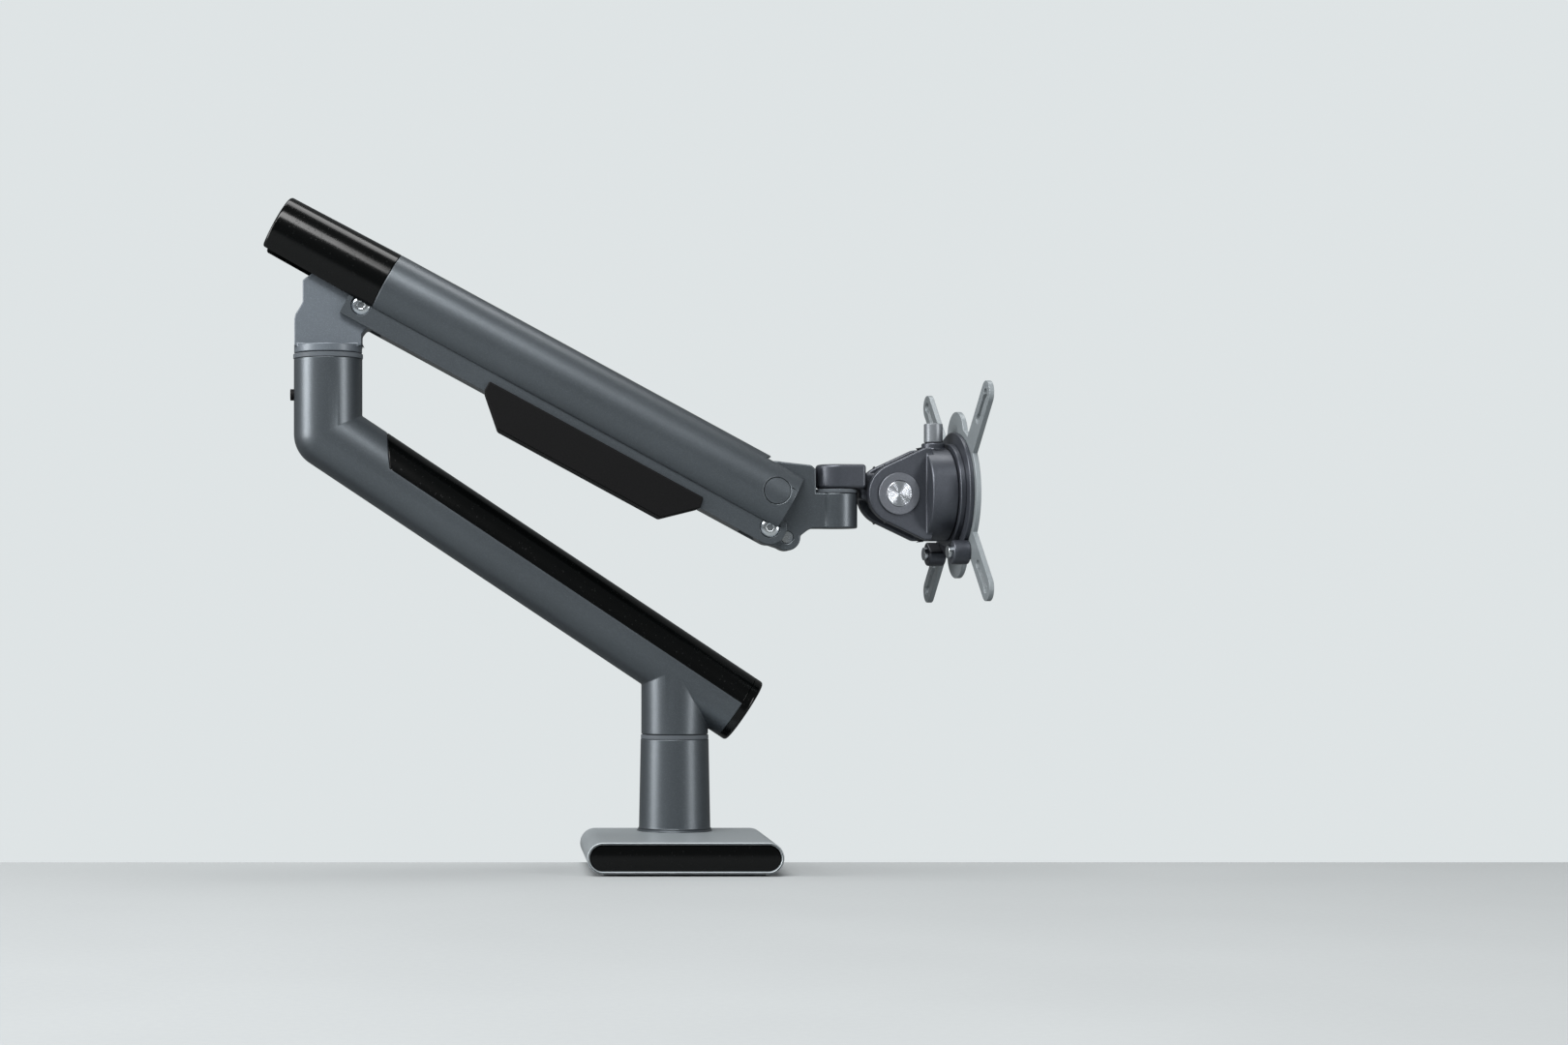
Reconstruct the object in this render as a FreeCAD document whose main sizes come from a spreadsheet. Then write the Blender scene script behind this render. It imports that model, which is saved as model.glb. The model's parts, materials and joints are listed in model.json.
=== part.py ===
import FreeCAD, Part
import os
import re
import Sketcher

# Monitor arm with a desk clamp, two arms, a parallelogram link and a tilting, turning screen plate.
# Frame: X along the desk's rear edge, Y away from the user, Z up. The origin is on the column's axis,
# on the underside of the foot's pad. Both arms lie in the plane Y = 0. Lengths are in millimetres.

SIZES = {
    # foot
    "base_width": 98.0, "base_front": 85.0, "base_back": 20.0, "base_height": 17.0, "base_wall": 3.0,
    "pad_thick": 1.2, "rim_wall": 1.3, "cover_thick": 3.0, "cover_inset": 0.8, "block_front": 26.0,
    # clamp
    "desk_edge": 3.0, "clamp_width": 60.0, "clamp_plate": 5.0, "clamp_drop": 92.0, "jaw_reach": 44.0,
    "jaw_thick": 9.0, "clamp_screw_dia": 10.0, "clamp_screw_y": 24.0, "desk_thick": 25.0,
    "clamp_pad_dia": 40.0, "clamp_pad_thick": 5.0, "clamp_rubber": 2.0, "knob_dia": 34.0, "knob_thick": 16.0,
    # column and base swivel
    "pole_foot_dia": 37.5, "pole_top_dia": 35.6, "pole_top": 65.3, "pole_ring": 2.2, "spindle_dia": 16.0,
    "spindle_top": 87.0, "bush_wall": 3.0, "stop_dia": 3.0, "stop_radius": 14.2, "stop_depth": 5.0,
    # lower arm
    "stub_dia": 35.0, "tube_dia": 36.0, "lower_slope": 33.68, "cross_z": 103.9, "elbow_reach": 182.1,
    "tail_length": 44.0, "cap_thick": 4.8, "elbow_top": 264.8, "elbow_ring": 2.5, "trough_width": 22.0,
    "trough_depth": 6.0, "cover_line": 2.5, "cover_start": 181.0, "cover_lean": 14.0, "cover_wall": 2.0,
    "plug_z": 246.0, "plug_dia": 6.0, "plug_out": 1.8, "elbow_bore": 29.0,
    # turret
    "collar_height": 4.4, "collar_dia": 35.7, "neck_left": -12.9, "blade_thick": 17.4, "pivot_dx": 20.9, "pivot_z": 311.0,
    "pivot_pin_dia": 10.0, "pivot_bush_wall": 1.0, "boss_radius": 10.5, "link_boss": 12.5,
    # upper arm
    "upper_slope": 28.54, "upper_length": 243.0, "arm_dia": 37.0, "arm_wall": 2.7, "axis_drop": 2.7,
    "sleeve_back": 53.7, "sleeve_front": 11.5, "sleeve_taper": 1.5, "sleeve_wall": 2.0, "fork_wall": 3.5,
    "fork_radius": 7.5, "bore_start": 30.0, "bore_end": 208.0, "arm_nose": 10.0, "slot_back": 10.5,
    "cap_dia": 13.6, "cap_deep": 3.0, "round_gap": 2.2,
    # spring
    "spring_axis": 1.5, "spring_radius": 8.5, "wire_dia": 3.0, "spring_start": 62.0, "spring_end": 192.0,
    "spring_turns": 15.0, "piston_dia": 20.4, "piston_thick": 6.0, "nut_thick": 10.0,
    "tension_dia": 8.0, "tension_head": 8.0,
    # link
    "link_dx": 3.2, "link_dz": 19.0, "link_wall": 2.9, "link_web": 2.5, "link_below": 8.7, "link_above": 6.0,
    "link_back": 8.0, "web_start": 16.0, "web_end": 13.0, "link_pin_dia": 6.0, "link_head_dia": 10.0,
    "link_head": 1.7, "clip_start": 78.0, "clip_end": 206.0, "clip_drop": 14.3, "clip_wall": 1.8,
    "clip_grip": 5.7, "clip_rake": 15.6,
    # knuckle
    "knuckle_disc": 15.9, "knuckle_face": 21.2, "wrist_dx": 32.4, "barrel_radius": 11.25, "barrel_top": 0.7,
    "barrel_length": 18.5, "lobe_dx": 6.0, "lobe_dz": 24.0, "lobe_radius": 7.0, "lobe_pin_dia": 6.0,
    "wrist_ring": 2.0, "wrist_pin_dia": 10.0,
    # wrist link and tilt head
    "head_yaw": 8.5, "wrist_thick": 12.7, "wrist_radius": 10.6, "tilt_reach": 30.5, "tilt_drop": 2.8,
    "slab_end": 13.8, "tongue_thick": 12.6, "tongue_radius": 13.0, "fork_gap": 15.0, "yoke_width": 26.0,
    "yoke_radius": 16.0, "drum_face": 15.2, "drum_end": 29.0, "drum_radius": 24.5, "tilt_bolt_dia": 8.0,
    "disc_ring_dia": 22.0, "disc_cap_dia": 13.5, "tilt_nut_dia": 15.0,
    "thumb_u": 22.6, "thumb_boss_dia": 12.4, "thumb_boss_top": 27.3, "thumb_dia": 6.0, "thumb_knob_dia": 9.8,
    "thumb_knob": 10.0, "tip_length": 3.0,
    # rotor and screen plate
    "rotor_pin_dia": 16.0, "rotor_depth": 11.0, "ring_one_dia": 54.0, "ring_one": 2.9, "ring_two_dia": 66.0,
    "ring_two": 2.4, "plate_thick": 2.6, "plate_disc_dia": 72.0, "plate_lobe_dia": 28.0, "plate_lobe": 30.0,
    "plate_arm": 13.0, "vesa_large": 100.0, "vesa_small": 75.0, "vesa_hole_dia": 5.0, "slot_width": 3.2,
    "lug_side": 21.0, "lug_drop": 30.6, "lug_dia": 13.0, "lug_length": 9.0, "lug_screw_dia": 4.0,
    # fits
    "run_gap": 0.3, "fit_gap": 0.05, "cover_gap": 0.2, "blade_gap": 0.3,
}

doc = FreeCAD.newDocument("monitor_arm")
sheet = doc.addObject("Spreadsheet::Sheet", "dims")
for row, (alias, size) in enumerate(SIZES.items(), start=1):
    sheet.set(f"A{row}", str(size))
    sheet.setAlias(f"A{row}", alias)
doc.recompute()

WORD = re.compile(r"[a-z_]+")
AXES = {
    "x": FreeCAD.Rotation(FreeCAD.Vector(0, 1, 0), 90),
    "y": FreeCAD.Rotation(FreeCAD.Vector(1, 0, 0), -90),
    "z": FreeCAD.Rotation(),
}
pieces = []
counter = {}


# ---- helpers ----

def spell(formula):
    """A formula with the sheet's name put before each of its aliases."""
    return WORD.sub(lambda word: f"dims.{word[0]}" if word[0] in SIZES else word[0], formula)


def bind(obj, prop, formula):
    """Bind a property to a formula whose words are names in the sheet."""
    obj.setExpression(prop, spell(formula))


def new(kind, name):
    """Add an object with a numbered inner name."""
    counter[name] = counter.get(name, 0) + 1
    return doc.addObject(kind, f"{name}_{counter[name]}")


def put(obj, at):
    """Bind an object's place to three formulas."""
    for letter, formula in zip("xyz", at):
        bind(obj, f"Placement.Base.{letter}", formula)
    return obj


def rod(name, radius, length, at, axis="z"):
    """A cylinder that starts at a point and runs along an axis."""
    obj = new("Part::Cylinder", name)
    bind(obj, "Radius", radius)
    bind(obj, "Height", length)
    obj.Placement = FreeCAD.Placement(FreeCAD.Vector(), AXES[axis])
    return put(obj, at)


def rod_y(name, radius, half, x, z):
    """A cylinder across the arm, centred on its middle plane."""
    return rod(name, radius, f"2 * ({half})", (x, f"0 - ({half})", z), "y")


def cone(name, radius_low, radius_high, length, at, axis="z"):
    """A tapered round bar."""
    obj = new("Part::Cone", name)
    bind(obj, "Radius1", radius_low)
    bind(obj, "Radius2", radius_high)
    bind(obj, "Height", length)
    obj.Placement = FreeCAD.Placement(FreeCAD.Vector(), AXES[axis])
    return put(obj, at)


def block(name, x_low, x_high, y_low, y_high, z_low, z_high):
    """A box between two corners."""
    obj = new("Part::Box", name)
    bind(obj, "Length", f"({x_high}) - ({x_low})")
    bind(obj, "Width", f"({y_high}) - ({y_low})")
    bind(obj, "Height", f"({z_high}) - ({z_low})")
    return put(obj, (x_low, y_low, z_low))


def slab(name, x_low, x_high, half, z_low, z_high):
    """A box centred on the arm's middle plane."""
    return block(name, x_low, x_high, f"0 - ({half})", half, z_low, z_high)


def join(name, *parts):
    obj = new("Part::MultiFuse", name)
    obj.Shapes = list(parts)
    return obj


def cut(name, base, *tools):
    obj = new("Part::Cut", name)
    obj.Base = base
    obj.Tool = tools[0] if len(tools) == 1 else join(f"{name}_tools", *tools)
    return obj


def common(name, one, two):
    obj = new("Part::MultiCommon", name)
    obj.Shapes = [one, two]
    return obj


def group(name, *parts):
    """Separate solids held together as one piece."""
    obj = new("Part::Compound", name)
    obj.Links = list(parts)
    return obj


def tube(name, outer, inner, length, at, axis="z"):
    return cut(name, rod(name, outer, length, at, axis), rod(name, inner, length, at, axis))


def outline(name, plane, points, half):
    """A body padded to both sides of its own plane from straight lines through bound points."""
    body = doc.addObject("PartDesign::Body", f"{name}_body")
    sketch = body.newObject("Sketcher::SketchObject", f"{name}_sketch")
    origin = [feature for feature in body.Origin.OriginFeatures if feature.Role == plane]
    sketch.AttachmentSupport = [(origin[0], "")]
    sketch.MapMode = "FlatFace"
    count = len(points)
    corners = [FreeCAD.Vector(rough(x), rough(y), 0) for x, y in points]
    for index in range(count):
        sketch.addGeometry(Part.LineSegment(corners[index], corners[(index + 1) % count]), False)
    for index in range(count):
        sketch.addConstraint(Sketcher.Constraint("Coincident", index, 2, (index + 1) % count, 1))
    for index, (x, y) in enumerate(points):
        for kind, formula, value in (("DistanceX", x, corners[index].x), ("DistanceY", y, corners[index].y)):
            number = sketch.addConstraint(Sketcher.Constraint(kind, -1, 1, index, 1, value))
            bind(sketch, f"Constraints[{number}]", formula)
    pad = body.newObject("PartDesign::Pad", f"{name}_extrusion")
    pad.Profile = sketch
    bind(pad, "Length", f"2 * ({half})")
    pad.SideType = "Symmetric"
    return body


def rough(formula):
    """The value of a formula, used to draw a sketch before its constraints bind it."""
    return float(sheet.evalExpression(spell(formula)))


def seat(obj, frame):
    """Turn and move a piece from an arm's own frame to its place."""
    x, y, z, axis, angle = frame
    obj.Placement = FreeCAD.Placement(FreeCAD.Vector(), FreeCAD.Rotation(axis, 1))
    bind(obj, "Placement.Rotation.Angle", angle)
    return put(obj, (x, y, z))


def finish(label, obj, frame=None):
    """Name a finished piece and seat it in its frame."""
    if frame:
        if obj.TypeId in ("Part::Cylinder", "Part::Box", "Part::Cone", "Part::Sweep"):
            obj = group(label, obj)
        seat(obj, frame)
    obj.Label = label
    pieces.append(obj)


def stadium(name, inset, y_low, y_high):
    """A bar with the foot's outline, drawn in by an inset."""
    radius = f"(base_height - pad_thick) / 2 - ({inset})"
    middle = "(base_height + pad_thick) / 2"
    reach = "(base_width - base_height + pad_thick) / 2"
    length = f"({y_high}) - ({y_low})"
    ends = [rod(name, radius, length, (f"{sign} * {reach}", y_low, middle), "y") for sign in ("-1", "1")]
    bar = block(name, f"0 - {reach}", reach, y_low, y_high, f"{middle} - ({radius})", f"{middle} + ({radius})")
    return join(name, bar, *ends)


# ---- frames of the two arms, the knuckle and the head ----

Y_AXIS = FreeCAD.Vector(0, 1, 0)
Z_AXIS = FreeCAD.Vector(0, 0, 1)
PIVOT_X = "(pivot_dx - elbow_reach)"
FRONT_X = f"({PIVOT_X} + upper_length * cos(upper_slope))"
FRONT_Z = "(pivot_z - upper_length * sin(upper_slope))"
WRIST_X = f"({FRONT_X} + wrist_dx)"
LINK_LEVEL = f"({FRONT_Z} - barrel_top + wrist_ring + run_gap)"
LOWER = ("0", "0", "cross_z", Y_AXIS, "lower_slope")
ELBOW = ("0 - elbow_reach", "0", "elbow_top + elbow_ring + run_gap", Y_AXIS, "0")
UPPER = (PIVOT_X, "0", "pivot_z", Y_AXIS, "upper_slope")
LINK = (f"{PIVOT_X} - link_dx", "0", "pivot_z - link_dz", Y_AXIS, "upper_slope")
KNUCKLE = (FRONT_X, "0", FRONT_Z, Y_AXIS, "0")
WRIST = (WRIST_X, "0", LINK_LEVEL, Z_AXIS, "head_yaw")
HEAD = (f"{WRIST_X} + tilt_reach * cos(head_yaw)", "tilt_reach * sin(head_yaw)", f"{LINK_LEVEL} - tilt_drop",
        Z_AXIS, "head_yaw")


# ---- foot and clamp ----

POLE_TURNS = (30, 150, 270)
BRACKET_BOLT_Y = "(desk_edge + clamp_plate + base_back - 1) / 2"

def make_foot():
    rebate = "cover_inset + cover_thick"
    boss = "0 - block_front"
    shell = stadium("base", "0", "0 - base_front", "base_back")
    hollow = stadium("base_hollow", "base_wall", "0 - base_front - 1", boss)
    front = stadium("base_front_rebate", "rim_wall", "0 - base_front - 1", f"{rebate} - base_front")
    back = stadium("base_back_rebate", "rim_wall", f"base_back - ({rebate})", "base_back + 1")
    holes = []
    for turn in POLE_TURNS:
        at = (f"pole_foot_dia * 0.37 * cos({turn})", f"pole_foot_dia * 0.37 * sin({turn})")
        holes.append(rod("foot_hole", "3 + fit_gap", "base_height", (*at, "pad_thick / 2")))
        holes.append(rod("foot_head", "5 + fit_gap * 4", "6.5", (*at, "pad_thick - 0.1")))
    for side in ("-1", "1"):
        at = (f"{side} * (clamp_width / 2 - 8)", BRACKET_BOLT_Y)
        holes.append(rod("foot_tap", "2.5 + fit_gap", "8", (*at, "pad_thick - 0.1")))
    finish("base_housing", cut("base_housing", shell, hollow, front, back, *holes))

    pad_side = "base_width / 2 - base_height / 2"
    finish("base_pad", block("base_pad", f"0 - ({pad_side})", pad_side, "8 - base_front", "desk_edge - 1",
                             "0", "pad_thick"))
    lid = "rim_wall + cover_gap"
    finish("front_cover", stadium("front_cover", lid, "cover_inset - base_front", f"{rebate} - base_front"))
    finish("rear_cover", stadium("rear_cover", lid, f"base_back - ({rebate})", "base_back - cover_inset"))


def make_clamp():
    outer = "desk_edge + clamp_plate"
    low = "pad_thick - clamp_drop"
    points = [
        ("desk_edge", "pad_thick"), ("base_back - 1", "pad_thick"), ("base_back - 1", "pad_thick - clamp_plate"),
        (outer, "pad_thick - clamp_plate"), (outer, low), ("0 - jaw_reach", low),
        ("0 - jaw_reach", f"{low} + jaw_thick"), ("desk_edge", f"{low} + jaw_thick"),
    ]
    profile = outline("clamp", "YZ_Plane", points, "clamp_width / 2")
    screw_at = ("0", "0 - clamp_screw_y")
    thread = rod("clamp_thread", "clamp_screw_dia / 2 + fit_gap", "jaw_thick + 2", (*screw_at, f"{low} - 1"))
    taps = [rod("clamp_tap", "2.5 + fit_gap", "clamp_plate + 2",
                (f"{side} * (clamp_width / 2 - 8)", BRACKET_BOLT_Y, "0 - clamp_plate"))
            for side in ("-1", "1")]
    finish("clamp_bracket", cut("clamp_bracket", profile, thread, *taps))

    screws = []
    for side in ("-1", "1"):
        at = (f"{side} * (clamp_width / 2 - 8)", BRACKET_BOLT_Y)
        head = rod("clamp_bolt", "4.5", "4", (*at, "pad_thick - clamp_plate - 4"))
        shank = rod("clamp_bolt", "2.5", "clamp_plate + 7", (*at, "pad_thick - clamp_plate"))
        screws.append(join("clamp_bolt", head, shank))
    finish("bracket_screws", group("bracket_screws", *screws))

    top = "0 - desk_thick"
    seat_z = f"{top} - clamp_rubber - clamp_pad_thick"
    ball = "clamp_screw_dia / 2 - 1.5"
    disc = rod("clamp_pad", "clamp_pad_dia / 2", "clamp_pad_thick", (*screw_at, seat_z))
    socket = rod("clamp_socket", f"{ball} + run_gap", "3 + run_gap", (*screw_at, seat_z))
    finish("clamp_pad", cut("clamp_pad", disc, socket))
    finish("clamp_pad_rubber", rod("clamp_pad_rubber", "clamp_pad_dia / 2", "clamp_rubber",
                                   (*screw_at, f"{top} - clamp_rubber")))

    knob_top = f"{low} - 34"
    nose = rod("clamp_screw", ball, "3 + run_gap", (*screw_at, f"{seat_z} - run_gap"))
    stem = rod("clamp_screw", "clamp_screw_dia / 2", f"{seat_z} - run_gap - ({knob_top} - knob_thick + 3)",
               (*screw_at, f"{knob_top} - knob_thick + 3"))
    finish("clamp_screw", join("clamp_screw", nose, stem))
    wheel = rod("clamp_knob", "knob_dia / 2", "knob_thick", (*screw_at, f"{knob_top} - knob_thick"))
    bore = rod("clamp_knob_bore", "clamp_screw_dia / 2 + fit_gap", "knob_thick",
               (*screw_at, f"{knob_top} - knob_thick + 3"))
    scoops = []
    for turn in range(0, 360, 60):
        at = (f"knob_dia * 0.58 * cos({turn})", f"knob_dia * 0.58 * sin({turn}) - clamp_screw_y")
        scoops.append(rod("knob_scoop", "knob_dia * 0.16", "knob_thick + 2", (*at, f"{knob_top} - knob_thick - 1")))
    finish("clamp_knob", cut("clamp_knob", wheel, bore, *scoops))


def make_column():
    height = "pole_top - base_height"
    column = cone("pole", "pole_foot_dia / 2", "pole_top_dia / 2", height, ("0", "0", "base_height"))
    foot = cone("pole_foot", "pole_foot_dia / 2 + 1.2", "pole_foot_dia / 2", "1.5", ("0", "0", "base_height"))
    bore = rod("pole_bore", "spindle_dia / 2 + fit_gap", height, ("0", "0", "base_height"))
    pin_hole = rod("pole_pin_hole", "stop_dia / 2 + fit_gap", "10", ("0", "stop_radius", "pole_top - 8"))
    screws = []
    holes = []
    for turn in POLE_TURNS:
        at = (f"pole_foot_dia * 0.37 * cos({turn})", f"pole_foot_dia * 0.37 * sin({turn})")
        holes.append(rod("pole_hole", "3 + fit_gap", "16", (*at, "base_height - 1")))
        head = rod("pole_screw", "5", "6", (*at, "pad_thick + 0.4"))
        hex_hole = rod("pole_screw_hex", "2.5", "3", (*at, "pad_thick + 0.3"))
        shank = rod("pole_screw", "3", "base_height - pad_thick + 6", (*at, "pad_thick + 6.4"))
        screws.append(cut("pole_screw", join("pole_screw", head, shank), hex_hole))
    finish("pole", cut("pole", join("pole", column, foot), bore, pin_hole, *holes))
    finish("pole_screws", group("pole_screws", *screws))
    finish("swivel_spindle", rod("swivel_spindle", "spindle_dia / 2", "spindle_top - base_height",
                                 ("0", "0", "base_height")))
    finish("stop_pin", rod("stop_pin", "stop_dia / 2", "8 + pole_ring + run_gap + stop_depth - 1",
                           ("0", "stop_radius", "pole_top - 8")))
    ring = tube("pole_washer", "pole_top_dia / 2 - 0.1", "spindle_dia / 2 + run_gap", "pole_ring",
                ("0", "0", "pole_top"))
    slot = rod("pole_washer_hole", "stop_dia / 2 + 0.1", "pole_ring + 2", ("0", "stop_radius", "pole_top - 1"))
    finish("pole_washer", cut("pole_washer", ring, slot))


# ---- lower arm ----

STUB_Z = "(pole_top + pole_ring + run_gap)"
ELBOW_RUN = "(elbow_reach / cos(lower_slope))"
ELBOW_Z = "(cross_z + elbow_reach * tan(lower_slope))"


def cover_prism(name, gap, half):
    """The wedge that the cable cover fills, in the lower arm's frame."""
    low = f"cover_line + ({gap})"
    rise = "tube_dia / 2 + 2 - cover_line"
    points = [(f"({gap}) - cover_start", low), (f"({gap}) - cover_start - cover_lean", f"cover_line + {rise}"),
              ("tail_length + 4", f"cover_line + {rise}"), ("tail_length + 4", low)]
    return outline(name, "XZ_Plane", points, half)


def make_lower_arm():
    radius = "tube_dia / 2"
    end = "tail_length - cap_thick"
    elbow_at = ("0 - elbow_reach", "0")
    run = rod("lower_run", radius, f"{ELBOW_RUN} + {end}", (f"0 - {ELBOW_RUN}", "0", "0"), "x")
    slant = seat(group("lower_slant", run), LOWER)
    ball = new("Part::Sphere", "elbow_ball")
    bind(ball, "Radius", radius)
    put(ball, (*elbow_at, ELBOW_Z))
    upright = rod("elbow_upright", radius, f"elbow_top - {ELBOW_Z}", (*elbow_at, ELBOW_Z))
    stub = rod("lower_stub", "stub_dia / 2", f"cross_z - {STUB_Z}", ("0", "0", STUB_Z))
    solid = join("lower_solid", slant, ball, upright, stub)

    wedge = seat(cover_prism("cover_seat", "0", "tube_dia / 2 + 2"), LOWER)
    trough = slab("trough", "6 - cover_start", "tail_length + 4", "trough_width / 2", "0 - trough_depth",
                  "cover_line + 1")
    channel = seat(group("trough_group", trough), LOWER)
    bush_radius = "spindle_dia / 2 + bush_wall + fit_gap"
    stub_bore = rod("stub_bore", bush_radius, f"spindle_top + 1 - {STUB_Z} + 1", ("0", "0", f"{STUB_Z} - 1"))
    elbow_bore = rod("elbow_bore", bush_radius, "elbow_bore + 1", (*elbow_at, "elbow_top - elbow_bore"))
    plug_hole = rod("plug_hole", "plug_dia / 2 + fit_gap", "7",
                    (f"0 - elbow_reach - {radius} - 2", "0", "plug_z"), "x")
    groove = half_ring("stop_groove", "stop_dia / 2 + 0.4", "stop_depth + 1", f"{STUB_Z} - 1")
    finish("lower_arm_tube", cut("lower_arm_tube", solid, wedge, channel, stub_bore, elbow_bore, plug_hole,
                                 groove))

    shell = tube("cover_shell", radius, f"{radius} - cover_wall", f"cover_start + 30 + {end}",
                 ("0 - cover_start - 30", "0", "0"), "x")
    finish("lower_cable_cover",
           common("lower_cable_cover", shell_cut(shell, end), cover_prism("cover_trim", "cover_gap",
                                                                          "tube_dia / 2 + 2")), LOWER)
    cap = rod("end_cap", radius, "cap_thick", (end, "0", "0"), "x")
    rounded = new("Part::Fillet", "end_cap_round")
    rounded.Base = cap
    doc.recompute()
    edges = [number for number, edge in enumerate(cap.Shape.Edges, start=1)
             if edge.Length > sheet.tube_dia * 2]
    far = [number for number in edges if cap.Shape.Edges[number - 1].BoundBox.XMax > sheet.tail_length - 0.1]
    rounded.Edges = [(number, 1.6, 1.6) for number in far]
    spigot = slab("cap_spigot", f"{end} - 8", f"{end} + 1", "trough_width / 2 - 0.2",
                  "0.2 - trough_depth", "cover_line - 0.4")
    finish("lower_end_cap", join("lower_end_cap", rounded, spigot), LOWER)

    bush_outer = "spindle_dia / 2 + bush_wall"
    bush_inner = "spindle_dia / 2 + fit_gap"
    finish("lower_bush", tube("lower_bush", bush_outer, bush_inner, f"spindle_top - 1 - {STUB_Z}",
                              ("0", "0", STUB_Z)))
    finish("elbow_bush", tube("elbow_bush", bush_outer, bush_inner, "elbow_bore - 3",
                              (*elbow_at, "elbow_top - elbow_bore + 3")))
    finish("elbow_washer", tube("elbow_washer", "tube_dia / 2 + 0.3", "spindle_dia / 2 + run_gap",
                                "elbow_ring", (*elbow_at, "elbow_top")))
    finish("elbow_plug", rod("elbow_plug", "plug_dia / 2", "plug_out + 4.5",
                             (f"0 - elbow_reach - {radius} - plug_out", "0", "plug_z"), "x"))


def shell_cut(shell, end):
    """The cover's half tube stops just short of the end cap."""
    stop = slab("cover_stop", f"{end} - cover_gap", "tail_length + 10", "tube_dia", "0 - tube_dia", "tube_dia")
    return cut("cover_length", shell, stop)


def half_ring(name, half_width, depth, z):
    """A groove of half a turn around the column's axis, rounded at both ends."""
    ring = tube(name, f"stop_radius + ({half_width})", f"stop_radius - ({half_width})", depth, ("0", "0", z))
    left = block(name, "0 - stub_dia", "0", "0 - stub_dia", "stub_dia", f"{z} - 1", f"{z} + {depth} + 1")
    ends = [rod(name, half_width, depth, ("0", f"{sign} * stop_radius", z)) for sign in ("-1", "1")]
    return join(name, cut(name, ring, left), *ends)


# ---- turret ----

def make_turret():
    half = "blade_thick / 2"
    rise = "pivot_z - elbow_top - elbow_ring - run_gap"
    link_rise = f"{rise} - link_dz"
    link_x = "pivot_dx - link_dx"
    blade_left = "0.6 - collar_dia / 2"
    collar = rod("collar", "collar_dia / 2", "collar_height", ("0", "0", "0"))
    points = [
        (blade_left, "collar_height - 1"), (blade_left, "collar_height + 13"),
        (f"{blade_left} + 0.5", "collar_height + 15.5"), (f"{blade_left} + 3", "collar_height + 19.5"),
        ("neck_left", "collar_height + 22"), ("neck_left", f"{rise} - 5.5"),
        ("pivot_dx - 24", f"{rise} + 1.5"), ("pivot_dx - 3", f"{rise} + boss_radius - 1.2"),
        ("pivot_dx + 4", rise), (f"{link_x} + 4", link_rise), (f"{link_x} + 4", f"{link_rise} - 10"),
        ("collar_dia / 2", "collar_height + 5"), ("collar_dia / 2 - 0.1", "collar_height - 1"),
    ]
    blade = outline("blade", "XZ_Plane", points, half)
    boss = rod_y("pivot_boss", "boss_radius", half, "pivot_dx", rise)
    link_disc = rod_y("link_disc", "link_boss", half, link_x, link_rise)
    pin_bore = rod_y("pivot_bore", "pivot_pin_dia / 2 + pivot_bush_wall + fit_gap", f"{half} + 1", "pivot_dx",
                     rise)
    link_bore = rod_y("link_bore", "link_pin_dia / 2 + fit_gap", f"{half} + 1", link_x, link_rise)
    spindle_bore = rod("spindle_bore", "spindle_dia / 2 + fit_gap", "collar_height + 4", ("0", "0", "-1"))
    finish("elbow_bracket", cut("elbow_bracket", join("elbow_bracket", collar, blade, boss, link_disc),
                                pin_bore, link_bore, spindle_bore), ELBOW)
    depth = "elbow_ring + run_gap + elbow_bore - 4"
    finish("elbow_spindle", rod("elbow_spindle", "spindle_dia / 2", f"{depth} + collar_height + 3",
                                ("0", "0", f"0 - ({depth})")), ELBOW)
    wall = "pivot_pin_dia / 2 + pivot_bush_wall"
    bush = cut("rear_bush", rod_y("rear_bush", wall, half, "pivot_dx", rise),
               rod_y("rear_bush", "pivot_pin_dia / 2 + fit_gap", f"{half} + 1", "pivot_dx", rise))
    finish("rear_pivot_bush", bush, ELBOW)


# ---- upper arm ----

CHEEK = "(blade_thick / 2 + blade_gap)"
LINK_HALF = f"({CHEEK} + link_wall)"
SLOT_HALF = f"({LINK_HALF} + run_gap)"
NOSE = "(upper_length + arm_nose)"


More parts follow.
